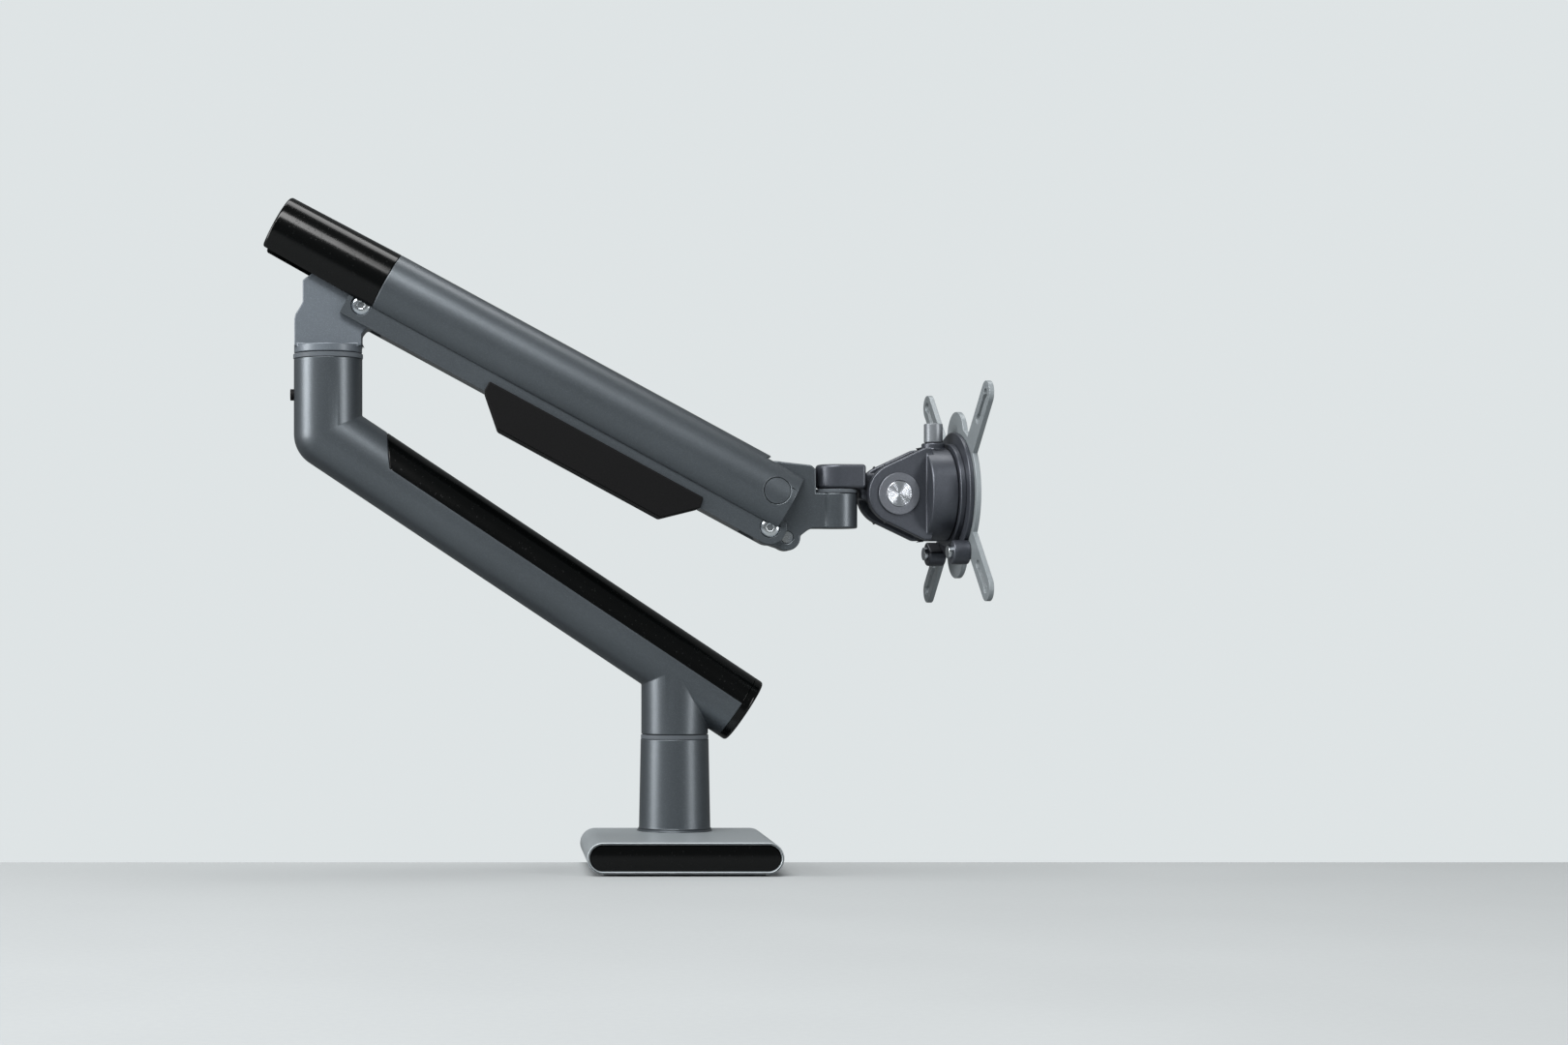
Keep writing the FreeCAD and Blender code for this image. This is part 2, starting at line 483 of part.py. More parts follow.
def make_upper_arm():
    radius = "arm_dia / 2"
    drop = "0 - axis_drop"
    start = "sleeve_front + run_gap"
    hull = rod("arm_hull", radius, f"{NOSE} - ({start})", (start, "0", drop), "x")
    cheek = slab("fork_bar", "0", f"{start} + 1", f"{CHEEK} + fork_wall", "0 - fork_radius", "fork_radius")
    eye = rod_y("fork_eye", "fork_radius", f"{CHEEK} + fork_wall", "0", "0")
    solid = join("arm_solid", hull, cheek, eye)

    bore = rod("arm_bore", f"{radius} - arm_wall", "bore_end - bore_start", ("bore_start", "0", drop), "x")
    rear_slot = slab("rear_slot", "-20", "bore_start + 1", CHEEK, "-30", "boss_radius + 1")
    link_slot = slab("link_slot", "sleeve_front - 1", f"{NOSE} + 1", SLOT_HALF, "-30", "0 - fork_radius - 0.5")
    front_slot = slab("front_slot", "upper_length - slot_back", f"{NOSE} + 1", CHEEK, "-30", "30")
    front_round = rod_y("front_round", "knuckle_disc + round_gap", CHEEK, "upper_length", "0")
    pin_radius = "pivot_pin_dia / 2 + fit_gap"
    rear_hole = rod_y("rear_hole", pin_radius, "arm_dia", "0", "0")
    front_hole = rod_y("front_hole", pin_radius, "arm_dia", "upper_length", "0")
    cap_holes = rod_y("cap_hole", "cap_dia / 2 + 0.25", "arm_dia", "upper_length", "0")
    cap_keep = rod_y("cap_keep", "cap_dia / 2 + 1", f"{radius} - cap_deep - 1.5", "upper_length", "0")
    cap_recess = cut("cap_recess", cap_holes, cap_keep)
    screw_hole = rod("tension_hole", "tension_dia / 2 + fit_gap", "20", ("bore_end - 1", "0", "spring_axis"), "x")
    head_hole = rod("tension_recess", "6.5 + fit_gap", "20", ("bore_end + 10", "0", "spring_axis"), "x")
    finish("upper_arm_tube", cut("upper_arm_tube", solid, bore, rear_slot, link_slot, front_slot, front_round,
                                 rear_hole, front_hole, cap_recess, screw_hole, head_hole), UPPER)

    length = "sleeve_back + sleeve_front"
    inner_high = f"{radius} - sleeve_wall"
    shell = cone("sleeve", f"{radius} - sleeve_taper / 2", radius, length, ("0 - sleeve_back", "0", drop), "x")
    hollow = cone("sleeve_hollow", f"{inner_high} - sleeve_taper / 2", inner_high, length,
                  ("sleeve_wall - sleeve_back", "0", drop), "x")
    mouth = slab("sleeve_mouth", "0 - sleeve_back - 1", "sleeve_front + 1", SLOT_HALF, "-30",
                 "0 - fork_radius - 0.5")
    rounded = new("Part::Fillet", "sleeve_round")
    rounded.Base = shell
    doc.recompute()
    numbers = [number for number, edge in enumerate(shell.Shape.Edges, start=1)
               if edge.Length > sheet.arm_dia * 2 and edge.BoundBox.XMax < 0]
    rounded.Edges = [(number, 1.5, 1.5) for number in numbers]
    finish("arm_sleeve", cut("arm_sleeve", rounded, hollow, mouth), UPPER)

    finish("rear_pivot_pin", rod_y("rear_pivot_pin", "pivot_pin_dia / 2", f"{CHEEK} + fork_wall", "0", "0"),
           UPPER)
    finish("front_pivot_pin", rod_y("front_pivot_pin", "pivot_pin_dia / 2", f"{radius} - cap_deep - 2",
                                    "upper_length", "0"), UPPER)
    disc = rod_y("cap_disc", "cap_dia / 2", "arm_dia", "upper_length", "0")
    core = rod_y("cap_core", "cap_dia", f"{radius} - cap_deep - 1.4", "upper_length", "0")
    skin = rod("cap_skin", f"{radius} - 0.05", "cap_dia + 4", ("upper_length - cap_dia / 2 - 2", "0", drop), "x")
    finish("front_pivot_caps", common("front_pivot_caps", cut("cap_pair", disc, core), skin), UPPER)


def make_spring():
    spring = new("Part::Helix", "spring_path")
    bind(spring, "Radius", "spring_radius")
    bind(spring, "Pitch", "(spring_end - spring_start - wire_dia - 0.6) / spring_turns")
    bind(spring, "Height", "spring_end - spring_start - wire_dia - 0.6")
    section = new("Part::Circle", "spring_section")
    bind(section, "Radius", "wire_dia / 2")
    section.Placement = FreeCAD.Placement(FreeCAD.Vector(), FreeCAD.Rotation(FreeCAD.Vector(1, 0, 0), 90))
    bind(section, "Placement.Base.x", "spring_radius")
    coil = new("Part::Sweep", "spring_coil")
    coil.Sections = [section]
    coil.Spine = (spring, ["Edge1"])
    coil.Solid = True
    coil.Frenet = True
    coil.Placement = FreeCAD.Placement(FreeCAD.Vector(), AXES["x"])
    put(coil, ("spring_start + wire_dia / 2 + 0.3", "0", "spring_axis"))
    finish("main_spring", group("main_spring", coil), UPPER)

    disc = rod("piston", "piston_dia / 2", "piston_thick", ("spring_start - piston_thick", "0", "spring_axis"),
               "x")
    dog = slab("piston_dog", "spring_start - piston_thick", "spring_start", "4", "-16", "0")
    finish("spring_piston", join("spring_piston", disc, dog), UPPER)

    nut = rod("tension_nut", "piston_dia / 2", "nut_thick", ("spring_end", "0", "spring_axis"), "x")
    bore = rod("tension_nut_bore", "tension_dia / 2 + fit_gap", "nut_thick + 2",
               ("spring_end - 1", "0", "spring_axis"), "x")
    finish("tension_nut", cut("tension_nut", nut, bore), UPPER)
    shank = rod("tension_screw", "tension_dia / 2", "bore_end + 10 - 160", ("160", "0", "spring_axis"), "x")
    head = rod("tension_screw_head", "6.5 - run_gap", "tension_head - 1.2", ("bore_end + 10 + run_gap", "0",
                                                                          "spring_axis"), "x")
    neck = rod("tension_screw_neck", "tension_dia / 2", "2", ("bore_end + 9", "0", "spring_axis"), "x")
    hexagon = rod("tension_screw_hex", "2.5", "4", ("bore_end + 6.8 + tension_head", "0", "spring_axis"), "x")
    finish("tension_screw", cut("tension_screw", join("tension_screw", shank, neck, head), hexagon), UPPER)


# ---- parallelogram link ----

def make_link():
    low = "0 - link_below"
    walls = slab("link_walls", "0 - link_back", "upper_length", LINK_HALF, low, "link_above")
    front = rod_y("link_nose", "link_below", LINK_HALF, "upper_length", "0")
    inside = slab("link_inside", "0 - link_back - 1", "upper_length + 12", CHEEK, f"{low} + link_web",
                  "link_above + 4")
    rear_open = slab("link_rear_open", "0 - link_back - 1", "web_start", CHEEK, f"{low} - 1", "link_above")
    front_open = slab("link_front_open", "upper_length - web_end", "upper_length + 12", CHEEK, f"{low} - 1",
                      "link_above")
    above = slab("link_above", "upper_length - 12", "upper_length + 12", LINK_HALF, "link_above", "link_above + 6")
    holes = [above]
    for x in ("0", "upper_length"):
        holes.append(rod_y("link_hole", "link_pin_dia / 2 + fit_gap", "20", x, "0"))
        ring = rod_y("link_sink", "link_head_dia / 2 + 0.4", "20", x, "0")
        keep = rod_y("link_keep", "link_head_dia", f"{LINK_HALF} - link_head - 0.3", x, "0")
        holes.append(cut("link_recess", ring, keep))
    finish("link_channel", cut("link_channel", join("link_solid", walls, front), inside, rear_open, front_open,
                               *holes), LINK)
    screws = []
    for x in ("0", "upper_length"):
        pin = rod_y("link_screw", "link_pin_dia / 2", f"{LINK_HALF} - 0.2", x, "0")
        heads = rod_y("link_screw_head", "link_head_dia / 2", f"{LINK_HALF} - 0.2", x, "0")
        middle = rod_y("link_screw_gap", "link_head_dia", f"{LINK_HALF} - link_head - 0.2", x, "0")
        hexes = [rod("link_screw_hex", "1.8", "1.2", (x, start, "0"), "y")
                 for start in (f"0 - ({LINK_HALF})", f"{LINK_HALF} - 1.2")]
        screws.append(cut("link_screw", join("link_screw", pin, cut("link_heads", heads, middle)), *hexes))
    finish("link_screws", group("link_screws", *screws), LINK)

    lug_front = "spring_start - piston_thick - run_gap + link_dx * cos(upper_slope) - link_dz * sin(upper_slope)"
    finish("drive_lug", slab("drive_lug", f"{lug_front} - 9", lug_front, "5", f"{low} + link_web", "11.5"), LINK)

    inner = f"{LINK_HALF} + cover_gap"
    depth = f"{low} - clip_drop"
    top = "clip_grip - link_below"
    tray = outline("clip", "XZ_Plane", [
        ("clip_start", top), ("clip_start", low), ("clip_start + clip_rake", depth),
        ("clip_end - clip_rake", depth), ("clip_end", low), ("clip_end - 1", top)], f"{inner} + clip_wall")
    cavity = outline("clip_cavity", "XZ_Plane", [
        ("clip_start - 1", f"{top} + 1"), ("clip_start - 1", f"{low} - cover_gap"),
        ("clip_start + clip_wall * 1.5", f"{low} - cover_gap"),
        ("clip_start + clip_rake + clip_wall", f"{depth} + clip_wall"),
        ("clip_end - clip_rake - clip_wall", f"{depth} + clip_wall"),
        ("clip_end - clip_wall * 1.5", f"{low} - cover_gap"),
        ("clip_end + 1", f"{low} - cover_gap"), ("clip_end + 1", f"{top} + 1")], inner)
    finish("cable_clip", cut("cable_clip", tray, cavity), LINK)


# ---- front knuckle ----

def make_knuckle():
    half = "blade_thick / 2"
    low = "0 - barrel_top - barrel_length"
    points = [
        ("0", "knuckle_disc"), ("knuckle_face - 2.5", "knuckle_disc - 2.1"),
        ("knuckle_face", "knuckle_disc - 4.5"), ("knuckle_face", "0 - barrel_top"),
        ("wrist_dx", "0 - barrel_top"), ("wrist_dx", low), ("knuckle_face - 2", low),
        ("knuckle_face - 4.5", f"{low} - 1.2"), ("lobe_dx + lobe_radius", f"{low} - 4"),
        ("lobe_dx + lobe_radius", "0 - lobe_dz"), ("lobe_dx", "0 - lobe_dz - lobe_radius"),
        ("0 - link_dx", "0 - link_dz - 8.9"), ("0 - link_dx - 7", "0 - link_dz"),
        ("3.6 - knuckle_disc", "0 - link_dz * 0.55"),
        ("0 - knuckle_disc", "0"),
    ]
    blade = outline("knuckle", "XZ_Plane", points, half)
    disc = rod_y("knuckle_disc", "knuckle_disc", half, "0", "0")
    lobe = rod_y("knuckle_lobe", "lobe_radius", half, "lobe_dx", "0 - lobe_dz")
    link_lobe = rod_y("knuckle_link_lobe", "9", half, "0 - link_dx", "0 - link_dz")
    barrel = rod("barrel", "barrel_radius", "barrel_length", ("wrist_dx", "0", low))
    bush = "pivot_pin_dia / 2 + pivot_bush_wall"
    holes = [
        rod_y("knuckle_bore", f"{bush} + fit_gap", f"{half} + 1", "0", "0"),
        rod_y("knuckle_link_bore", "link_pin_dia / 2 + fit_gap", f"{half} + 1", "0 - link_dx", "0 - link_dz"),
        rod_y("knuckle_pin_bore", "lobe_pin_dia / 2 + fit_gap", f"{half} + 1", "lobe_dx", "0 - lobe_dz"),
        rod("barrel_bore", "wrist_pin_dia / 2 + fit_gap", "barrel_length - 3", ("wrist_dx", "0", f"{low} + 4")),
        rod("ring_relief", "barrel_radius + 0.3", "wrist_ring + 0.3", ("wrist_dx", "0", "0 - barrel_top")),
    ]
    finish("front_knuckle", cut("front_knuckle", join("front_knuckle", blade, disc, lobe, link_lobe, barrel),
                                *holes), KNUCKLE)
    finish("front_pivot_bush", cut("front_bush", rod_y("front_bush", bush, half, "0", "0"),
                                   rod_y("front_bush_bore", "pivot_pin_dia / 2 + fit_gap", f"{half} + 1", "0",
                                         "0")), KNUCKLE)
    finish("lobe_pin", rod_y("lobe_pin", "lobe_pin_dia / 2", f"{half} - 0.1", "lobe_dx", "0 - lobe_dz"), KNUCKLE)
    finish("wrist_washer", tube("wrist_washer", "barrel_radius + 0.1", "wrist_pin_dia / 2 + run_gap",
                                "wrist_ring", ("wrist_dx", "0", "0 - barrel_top")), KNUCKLE)
    finish("wrist_pin", rod("wrist_pin", "wrist_pin_dia / 2", "barrel_length - 4 + wrist_ring + run_gap + 9",
                            ("wrist_dx", "0", f"{low} + 4")), KNUCKLE)


# ---- wrist link and tilt head ----

def make_wrist():
    end = rod("wrist_end", "wrist_radius", "wrist_thick", ("0", "0", "0"))
    bar = slab("wrist_bar", "0", "slab_end", "wrist_radius", "0", "wrist_thick")
    tongue_half = "tongue_thick / 2"
    neck = slab("wrist_neck", "slab_end - 2", "tilt_reach", tongue_half, "0 - tilt_drop - 3",
                "tongue_radius - tilt_drop - 2")
    eye = rod_y("tongue_eye", "tongue_radius", tongue_half, "tilt_reach", "0 - tilt_drop")
    clear = rod("barrel_clear", "barrel_radius + run_gap * 2", "20", ("0", "0", "-20"))
    pin_bore = rod("wrist_bore", "wrist_pin_dia / 2 + fit_gap", "10", ("0", "0", "-0.5"))
    bolt_bore = rod_y("tongue_bore", "tilt_bolt_dia / 2 + fit_gap", "20", "tilt_reach", "0 - tilt_drop")
    finish("wrist_link", cut("wrist_link", join("wrist_link", end, bar, neck, eye), clear, pin_bore, bolt_bore),
           WRIST)


def make_head():
    half = "yoke_width / 2"
    drum_half = "drum_radius - 0.4"
    points = [
        ("0 - 6.8", "yoke_radius - 1.5"), ("drum_face - 1.2", drum_half), ("drum_face + 3", drum_half),
        ("drum_face + 3", f"0 - ({drum_half})"), ("drum_face - 1.2", f"0 - ({drum_half})"),
        ("0 - 6.8", "1.5 - yoke_radius"),
    ]
    wedge = outline("yoke", "XZ_Plane", points, half)
    nose = rod_y("yoke_nose", "yoke_radius", half, "0", "0")
    drum = rod("drum", "drum_radius", "drum_end - drum_face", ("drum_face", "0", "0"), "x")
    boss = rod("thumb_boss", "thumb_boss_dia / 2", "thumb_boss_top - 15", ("thumb_u", "0", "15"))
    gap = slab("yoke_gap", "-30", "drum_face - 0.2", "fork_gap / 2", "-40", "40")
    bolt_hole = rod_y("bolt_hole", "tilt_bolt_dia / 2 + fit_gap", "20", "0", "0")
    spindle_hole = rod("rotor_hole", "rotor_pin_dia / 2 + fit_gap", "rotor_depth + 1",
                       ("drum_end - rotor_depth", "0", "0"), "x")
    thumb_hole = rod("thumb_hole", "thumb_dia / 2 + fit_gap", "30", ("thumb_u", "0", "6"))
    finish("tilt_yoke", cut("tilt_yoke", join("tilt_yoke", wedge, nose, drum, boss), gap, bolt_hole,
                            spindle_hole, thumb_hole), HEAD)

    finish("tilt_bolt", rod_y("tilt_bolt", "tilt_bolt_dia / 2", half, "0", "0"), HEAD)
    washers = [tube("tilt_washer", "tongue_radius - 2", "tilt_bolt_dia / 2 + 0.2",
                    "(fork_gap - tongue_thick) / 2 - run_gap", ("0", start, "0"), "y")
               for start in ("0 - fork_gap / 2", "tongue_thick / 2 + run_gap")]
    finish("tilt_washers", group("tilt_washers", *washers), HEAD)
    finish("tilt_nut", rod("tilt_nut", "tilt_nut_dia / 2", "4", ("0", half, "0"), "y"), HEAD)
    finish("tilt_bolt_ring", tube("tilt_bolt_ring", "disc_ring_dia / 2", "disc_cap_dia / 2 + 0.1", "1.2",
                                  ("0", f"0 - {half} - 1.2", "0"), "y"), HEAD)
    finish("tilt_bolt_cap", rod("tilt_bolt_cap", "disc_cap_dia / 2", "1.5", ("0", f"0 - {half} - 1.5", "0"), "y"),
           HEAD)

    tip_low = "rotor_pin_dia / 2 + run_gap"
    stem_low = f"{tip_low} + tip_length + 0.2"
    finish("lock_tip", rod("lock_tip", "thumb_dia / 2 - 0.1", "tip_length", ("thumb_u", "0", tip_low)), HEAD)
    stem = rod("thumb_stem", "thumb_dia / 2", f"thumb_boss_top + 1 - ({stem_low})", ("thumb_u", "0", stem_low))
    knob = rod("thumb_knob", "thumb_knob_dia / 2", "thumb_knob", ("thumb_u", "0", "thumb_boss_top + run_gap"))
    finish("thumb_screw", join("thumb_screw", stem, knob), HEAD)


# ---- rotor and screen plate ----

RING_ONE = "(drum_end + run_gap)"
RING_TWO = f"({RING_ONE} + ring_one)"
PLATE = f"({RING_TWO} + ring_two)"


def make_rotor():
    finish("rotor_spindle", rod("rotor_spindle", "rotor_pin_dia / 2", f"rotor_depth - 0.5 + run_gap",
                                ("drum_end - rotor_depth + 0.5", "0", "0"), "x"), HEAD)
    finish("hub_inner_ring", rod("hub_inner_ring", "ring_one_dia / 2", "ring_one", (RING_ONE, "0", "0"), "x"),
           HEAD)
    finish("hub_outer_ring", rod("hub_outer_ring", "ring_two_dia / 2", "ring_two", (RING_TWO, "0", "0"), "x"),
           HEAD)
    lugs = []
    screws = []
    for side in ("-1", "1"):
        at = (f"{side} * lug_side", "0 - lug_drop")
        lug = rod("latch_lug", "lug_dia / 2", "lug_length", (f"{PLATE} - lug_length", *at), "x")
        clear = rod("lug_clear", "ring_two_dia / 2 + 0.1", "lug_length + 2", (f"{PLATE} - lug_length - 1", "0", "0"),
                    "x")
        hole = rod("lug_hole", "lug_screw_dia / 2 + fit_gap", "lug_length + 2", (f"{PLATE} - lug_length - 1", *at),
                   "x")
        lugs.append(cut("latch_lug", lug, clear, hole))
        shank = rod("latch_screw", "lug_screw_dia / 2", "lug_length + 2", (f"{PLATE} - lug_length", *at), "x")
        head = rod("latch_screw_head", "3.5", "2", (f"{PLATE} - lug_length - 2", *at), "x")
        screws.append(join("latch_screw", shank, head))
    finish("latch_lugs", group("latch_lugs", *lugs), HEAD)
    finish("latch_screws", group("latch_screws", *screws), HEAD)

    disc = rod("plate_disc", "plate_disc_dia / 2", "plate_thick", (PLATE, "0", "0"), "x")
    parts = [disc]
    for side in ("-1", "1"):
        parts.append(rod("plate_lobe", "plate_lobe_dia / 2", "plate_thick", (PLATE, "0", f"{side} * plate_lobe"),
                         "x"))
    holes = []
    reach = "vesa_large / sqrt(2)"
    inner = "vesa_small / sqrt(2)"
    for turn in (45, 135, 225, 315):
        arm = block("plate_arm", "0", "plate_thick", "0", reach, "0 - plate_arm / 2", "plate_arm / 2")
        tip = rod("plate_tip", "plate_arm / 2", "plate_thick", ("0", reach, "0"), "x")
        parts.append(spin(join("plate_arm", arm, tip), turn))
        hole = rod("vesa_hole", "vesa_hole_dia / 2", "plate_thick + 2", ("-1", reach, "0"), "x")
        near = rod("vesa_near", "vesa_hole_dia / 2", "plate_thick + 2", ("-1", inner, "0"), "x")
        slot = block("vesa_slot", "-1", "plate_thick + 1", inner, reach, "0 - slot_width / 2", "slot_width / 2")
        holes.append(spin(join("vesa_slot", hole, near, slot), turn))
    for side in ("-1", "1"):
        holes.append(rod("plate_tap", "lug_screw_dia / 2 + fit_gap", "plate_thick + 2",
                         (f"{PLATE} - 1", f"{side} * lug_side", "0 - lug_drop"), "x"))
    finish("vesa_plate", cut("vesa_plate", join("vesa_plate", *parts), *holes), HEAD)


def spin(obj, turn):
    """Turn an arm of the plate about the rotor's axis, on the plate's seat."""
    obj.Placement = FreeCAD.Placement(FreeCAD.Vector(), FreeCAD.Rotation(FreeCAD.Vector(1, 0, 0), turn))
    return put(obj, (PLATE, "0", "0"))


# ---- checks and files ----

def write_parts():
    doc.recompute()
    for obj in doc.Objects:
        if "Invalid" in obj.State or "Error" in obj.State:
            raise RuntimeError(f"{obj.Label} is {obj.State}")
    labels = [piece.Label for piece in pieces]
    if len(set(labels)) != len(labels):
        raise RuntimeError("two pieces share a name")
    os.makedirs("parts", exist_ok=True)
    for piece in pieces:
        shape = piece.Shape
        if shape.isNull() or not shape.isValid() or not shape.Solids:
            raise RuntimeError(f"{piece.Label} has no valid solid")
        shape.exportStep(f"parts/{piece.Label}.step")
        print(f"{piece.Label}: {len(shape.Solids)} solids, {shape.Volume / 1000:.2f} cm3")


make_foot()
make_clamp()
make_column()
make_lower_arm()
make_turret()
make_upper_arm()
make_spring()
make_link()
make_knuckle()
make_wrist()
make_head()
make_rotor()
write_parts()
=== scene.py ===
# %% [markdown]
# # A clamp-on monitor arm
# The arm stands on a desk, clamped to its rear edge. A lower tube swings on the pole, a sprung
# upper tube tilts on the elbow bracket, and a small head carries the slotted mounting plate.
# The measured model gives every size. This notebook gives each piece its edges and its finish.

import json
import math

import bmesh
import bpy
import numpy as np
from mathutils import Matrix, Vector

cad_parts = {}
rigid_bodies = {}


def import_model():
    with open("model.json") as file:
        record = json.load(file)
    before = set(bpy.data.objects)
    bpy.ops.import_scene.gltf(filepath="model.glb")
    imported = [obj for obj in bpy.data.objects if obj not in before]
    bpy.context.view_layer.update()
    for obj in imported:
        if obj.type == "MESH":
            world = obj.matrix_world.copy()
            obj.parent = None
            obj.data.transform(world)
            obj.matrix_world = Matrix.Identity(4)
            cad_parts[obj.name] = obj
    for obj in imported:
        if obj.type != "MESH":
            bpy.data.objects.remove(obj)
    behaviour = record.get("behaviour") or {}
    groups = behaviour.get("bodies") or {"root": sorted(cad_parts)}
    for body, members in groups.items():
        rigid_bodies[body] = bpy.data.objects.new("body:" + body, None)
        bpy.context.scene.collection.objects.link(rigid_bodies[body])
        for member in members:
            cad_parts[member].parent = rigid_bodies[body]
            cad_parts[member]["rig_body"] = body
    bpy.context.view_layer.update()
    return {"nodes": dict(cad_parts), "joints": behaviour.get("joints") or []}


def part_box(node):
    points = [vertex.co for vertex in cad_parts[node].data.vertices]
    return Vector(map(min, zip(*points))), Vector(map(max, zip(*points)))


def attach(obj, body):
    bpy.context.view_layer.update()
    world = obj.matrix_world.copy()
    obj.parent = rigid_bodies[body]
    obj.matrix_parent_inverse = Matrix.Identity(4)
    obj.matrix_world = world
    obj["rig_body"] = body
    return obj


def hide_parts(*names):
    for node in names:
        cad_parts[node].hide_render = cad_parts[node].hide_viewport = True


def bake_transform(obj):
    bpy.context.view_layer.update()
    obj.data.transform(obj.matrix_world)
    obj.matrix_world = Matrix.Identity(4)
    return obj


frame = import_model()
nodes = frame["nodes"]
MM = 0.001

# %% [markdown]
# ## Camera
# A long lens at the height of the base looks straight along the desk, so upright edges stay
# upright. The view is shifted instead of turned, as with an architect's lens. Turning the camera
# would make the pole lean.

# %% Set up the camera
FOCAL_IN_WIDTHS = 1.838
SENSOR = 36.0
SHIFT_RIGHT = 0.1911
SHIFT_UP = 0.0654

camera_data = bpy.data.cameras.new("camera")
camera_data.sensor_width = SENSOR
camera_data.lens = FOCAL_IN_WIDTHS * SENSOR
camera_data.shift_x = SHIFT_RIGHT
camera_data.shift_y = SHIFT_UP
camera_data.clip_start = 0.05
camera_data.clip_end = 50
camera = bpy.data.objects.new("camera", camera_data)
camera.location = (-100 * MM, -1515 * MM, 125 * MM)
camera.rotation_euler = (math.radians(90), 0, 0)
bpy.context.scene.collection.objects.link(camera)
bpy.context.scene.camera = camera
print("lens", round(camera_data.lens, 1), "mm on a sensor", SENSOR, "mm wide")

# %% [markdown]
# ## Finishes as expressions
# A finish is a graph of shader nodes. Writing one as arithmetic keeps it readable, so a wire
# stands for one node's output, and adding or multiplying wires adds the Math nodes. Colours
# need Mix nodes, because a Math node would turn them grey.

# %% A wire and a finish
# A Mix node has sockets for numbers, for vectors and for colours. These are its colour sockets.
FIRST_COLOUR, SECOND_COLOUR, MIXED_COLOUR = 6, 7, 2


class Wire:
    """One output of a finish's nodes, which may be added, multiplied and compared."""

    def __init__(self, finish, socket):
        self.finish = finish
        self.socket = socket

    def math(self, operation, first, second=0.0):
        return self.finish.node("ShaderNodeMath", {"operation": operation}, {0: first, 1: second})

    def __add__(self, other):
        return self.math("ADD", self, other)

    def __radd__(self, other):
        return self.math("ADD", other, self)

    def __sub__(self, other):
        return self.math("SUBTRACT", self, other)

    def __rsub__(self, other):
        return self.math("SUBTRACT", other, self)

    def __mul__(self, other):
        return self.math("MULTIPLY", self, other)

    def __rmul__(self, other):
        return self.math("MULTIPLY", other, self)

    def above(self, limit):
        return self.math("GREATER_THAN", self, limit)


class Finish:
    """A material and the nodes that make it."""

    def __init__(self, name, **even):
        """even holds the shader's values that are the same all over the surface."""
        self.material = bpy.data.materials.new(name)
        self.material.use_nodes = True
        self.tree = self.material.node_tree
        self.shader = self.tree.nodes["Principled BSDF"]
        for socket, value in even.items():
            self.shader.inputs[socket.replace("_", " ").title().replace("Ior", "IOR")].default_value = value
        self.place = self.node("ShaderNodeTexCoord", out="Object")

    def node(self, kind, settings=None, values=None, out=0):
        """Adds a node of that kind, with its settings first and then its sockets' values or wires."""
        made = self.tree.nodes.new(kind)
        for key, value in (settings or {}).items():
            setattr(made, key, value)
        for socket, value in (values or {}).items():
            if isinstance(value, Wire):
                self.tree.links.new(value.socket, made.inputs[socket])
            else:
                made.inputs[socket].default_value = value
        return Wire(self, made.outputs[out])

    def stretched(self, scale):
        """The place on the piece with each axis multiplied, which draws a pattern out along the least."""
        return self.node("ShaderNodeMapping", None, {"Vector": self.place, "Scale": scale})

    def noise(self, scale, detail=2.0, where=None):
        """Cloudy values from 0 to 1, with scale clouds to a metre."""
        return self.node("ShaderNodeTexNoise", None,
                         {"Vector": where or self.place, "Scale": scale, "Detail": detail}, "Fac")

    def grains(self, scale):
        """A random value from 0 to 1 in each of many small cells, with scale cells to a metre."""
        cells = self.node("ShaderNodeTexVoronoi", None, {"Vector": self.place, "Scale": scale}, "Color")
        return self.node("ShaderNodeSeparateColor", None, {"Color": cells}, "Red")

    def blend(self, amount, first, second):
        """Runs from the first colour, or wire, to the second colour as the amount goes from 0 to 1."""
        if not isinstance(first, Wire):
            first = (*first, 1.0)
        values = {"Factor": amount, FIRST_COLOUR: first, SECOND_COLOUR: (*second, 1.0)}
        return self.node("ShaderNodeMix", {"data_type": "RGBA"}, values, MIXED_COLOUR)

    def feed(self, socket, wire):
        self.tree.links.new(wire.socket, self.shader.inputs[socket])

    def relief(self, height, depth):
        """Raises the surface by the height, from 0 to 1, times the depth in metres."""
        bump = self.node("ShaderNodeBump", None, {"Height": height, "Distance": depth, "Strength": 1.0})
        self.feed("Normal", bump)


def tone(red, green, blue):
    """The linear colour of a screen colour with levels from 0 to 255."""
    return tuple((level / 255) ** 2.2 for level in (red, green, blue))


def shade(colour, factor):
    """A lighter or darker colour."""
    return tuple(factor * level for level in colour)


print("a wire can", [name for name in vars(Wire) if not name.startswith("__")])

# %% [markdown]
# ## Metallic satin paint
# The castings and tubes have a dark grey paint with aluminium flakes in it. Up close there is a
# fine orange peel from the spraying, and single flakes catch the light. A flake is a cell of a
# Voronoi pattern a fifth of a millimetre wide. The slow clouds make the coat a little uneven,
# as sprayed paint is.

# %% Satin paint
# How many clouds, bumps of the peel and flakes there are to a metre
CLOUDS, PEEL, FLAKES = 16.0, 900.0, 5200.0
FLAKE_SHARE = 0.14


